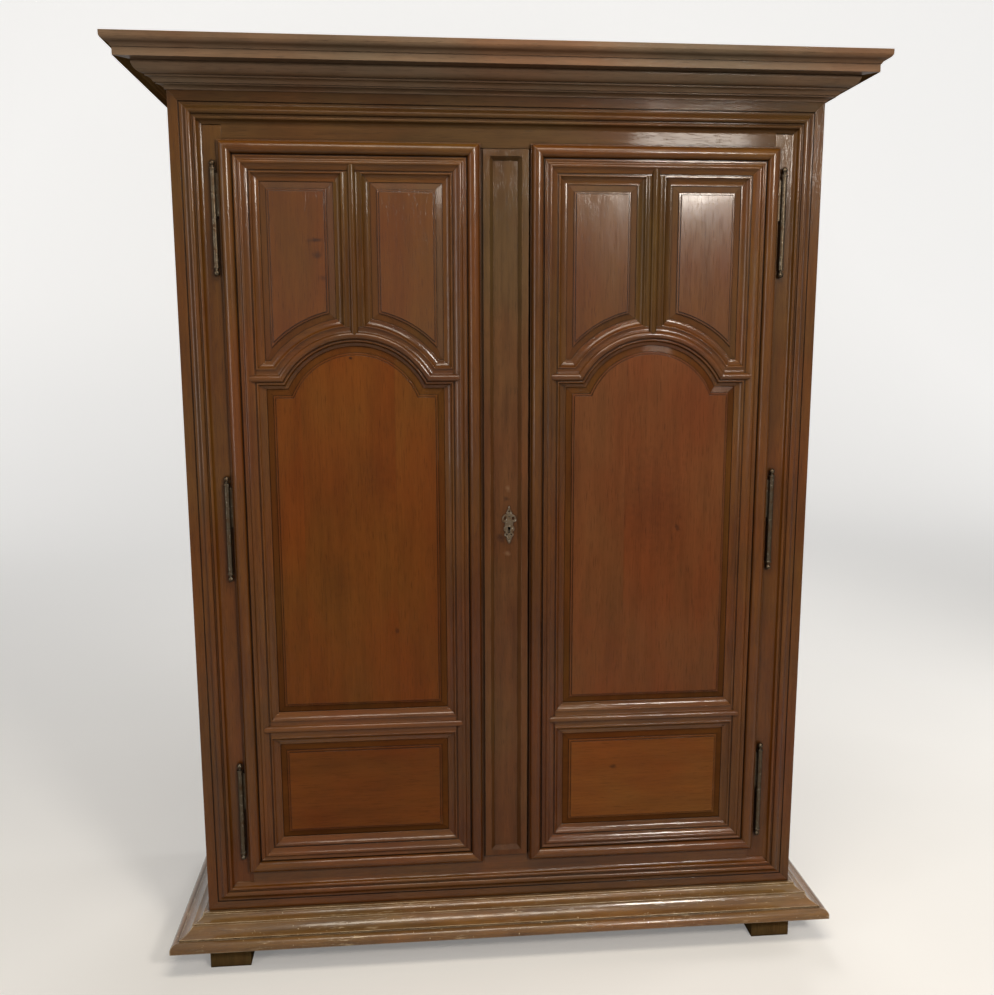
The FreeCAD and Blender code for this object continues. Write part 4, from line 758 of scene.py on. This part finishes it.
def stage_paint(name):
    """Matt pale paint, as the eye and the gloss of the object see it, that throws little light back."""
    paint = Paint(name)
    rays = paint.node("LightPath").outputs
    seen = paint.math("MAXIMUM", rays["Is Glossy Ray"], rays["Is Transmission Ray"])
    seen = paint.math("MAXIMUM", rays["Is Camera Ray"], seen)
    place = paint.node("TexCoord").outputs["Object"]
    coat = paint.spread(paint.noise(place, 1.4, 2.0), 0.3, 0.7)
    pale = paint.mix(coat, (*(value * 0.97 for value in PALE), 1.0), (*PALE, 1.0))
    depth = paint.node("SeparateXYZ", {0: place}).outputs[1]
    reach = paint.vector("LENGTH", place)["Value"]
    shade = paint.mix(seen, (*BOUNCE, 1.0), pale)
    outward = paint.spread(reach, GLOW_NEAR, GLOW_FAR, GLOW_LEAST, GLOW_MOST)
    glow = paint.sum((outward, 1.0), (paint.spread(depth, BACKDROP_NEAR, BACKDROP_FAR), BACKDROP_GLOW))
    glow = paint.math("MULTIPLY", seen, glow)
    return paint.surface(Base_Color=shade, Roughness=0.8, Emission_Color=GLOW, Emission_Strength=glow)


def sweep():
    """A pale sheet that lies on the floor and rises behind the cupboard."""
    line = [(SWEEP_FRONT, cad_low.z)]
    for step in range(SWEEP_STEPS + 1):
        turn = math.radians(90) * step / SWEEP_STEPS
        line.append((SWEEP_BACK - SWEEP_RADIUS + SWEEP_RADIUS * math.sin(turn),
                     cad_low.z + SWEEP_RADIUS - SWEEP_RADIUS * math.cos(turn)))
    line.append((SWEEP_BACK, SWEEP_TOP))
    mesh = bpy.data.meshes.new("sweep")
    points = [(x, y, z) for y, z in line for x in (-SWEEP_HALF, SWEEP_HALF)]
    faces = [(2 * i, 2 * i + 1, 2 * i + 3, 2 * i + 2) for i in range(len(line) - 1)]
    mesh.from_pydata(points, [], faces)
    mesh.polygons.foreach_set("use_smooth", [True] * len(faces))
    mesh.materials.append(stage_paint("pale_floor"))
    made = bpy.data.objects.new("sweep", mesh)
    bpy.context.scene.collection.objects.link(made)


sweep()


@dataclass
class Lamp:
    """A studio lamp: its place, what it points at, its width and height in metres, its watts and its tint."""

    place: tuple
    target: tuple
    width: float
    height: float
    power: float
    colour: tuple


WARM = (1.0, 0.93, 0.83)
WARMER = (1.0, 0.90, 0.75)
SOFT = (1.0, 0.97, 0.93)
LAMPS = {
    "key": Lamp((1.25, -3.1, 2.45), (0.1, -0.2, 1.1), 0.55, 0.4, 60, WARM),
    "ceiling": Lamp((0.0, -1.5, 3.1), (0.0, -0.45, 0.4), 1.6, 0.7, 42, WARMER),
    "left_fill": Lamp((-2.7, -2.0, 1.7), (-0.2, -0.1, 1.0), 0.7, 1.8, 26, SOFT),
    "back_fill": Lamp((0.6, 3.4, 3.2), (0.0, 0.3, 1.0), 2.0, 1.6, 70, SOFT),
    "right_fill": Lamp((3.2, 0.6, 2.0), (0.5, 0.1, 1.1), 1.0, 1.6, 30, SOFT),
}


def hang(name, lamp):
    """Set up a lamp, turned to its target."""
    light = bpy.data.lights.new(name, "AREA")
    light.shape = "RECTANGLE"
    light.size = lamp.width
    light.size_y = lamp.height
    light.energy = lamp.power
    light.color = lamp.colour
    made = bpy.data.objects.new(name, light)
    made.location = lamp.place
    made.rotation_euler = (Vector(lamp.target) - Vector(lamp.place)).to_track_quat("-Z", "Y").to_euler()
    bpy.context.scene.collection.objects.link(made)


for name, lamp in LAMPS.items():
    hang(name, lamp)


def room(name, seen_colour, dim_colour):
    """Pale as the eye and the gloss of the object see it, and dim as a light."""
    made = bpy.data.worlds.new(name)
    made.use_nodes = True
    nodes = made.node_tree.nodes
    links = made.node_tree.links
    rays = nodes.new("ShaderNodeLightPath").outputs
    seen = rays["Is Camera Ray"]
    for ray in ("Is Glossy Ray", "Is Transmission Ray"):
        either = nodes.new("ShaderNodeMath")
        either.operation = "MAXIMUM"
        links.new(seen, either.inputs[0])
        links.new(rays[ray], either.inputs[1])
        seen = either.outputs[0]
    shade = nodes.new("ShaderNodeMix")
    shade.data_type = "RGBA"
    links.new(seen, shade.inputs[0])
    shade.inputs[6].default_value = (*dim_colour, 1.0)
    shade.inputs[7].default_value = (*seen_colour, 1.0)
    links.new(shade.outputs[2], nodes["Background"].inputs["Color"])
    bpy.context.scene.world = made


room("room", PALE, DIM)

# Camera where the photograph was taken: in front of the left door, a little above the lock
CAMERA_PLACE = (-0.231, -2.552, 1.544)
CAMERA_DOWN = 9.19
CAMERA_RIGHT = 5.17
CAMERA_ROLL = 0.12
CAMERA_LENS = 35.93
CAMERA_SENSOR = 36.0
camera = bpy.data.objects.new("camera", bpy.data.cameras.new("camera"))
camera.data.sensor_fit = "HORIZONTAL"
camera.data.sensor_width = CAMERA_SENSOR
camera.data.lens = CAMERA_LENS
camera.location = CAMERA_PLACE
camera.rotation_euler = (Euler((math.radians(90 - CAMERA_DOWN), 0.0, -math.radians(CAMERA_RIGHT))).to_matrix()
                         @ Matrix.Rotation(-math.radians(CAMERA_ROLL), 3, "Z")).to_euler()
bpy.context.scene.collection.objects.link(camera)
bpy.context.scene.camera = camera
bpy.context.scene.view_settings.view_transform = "Standard"
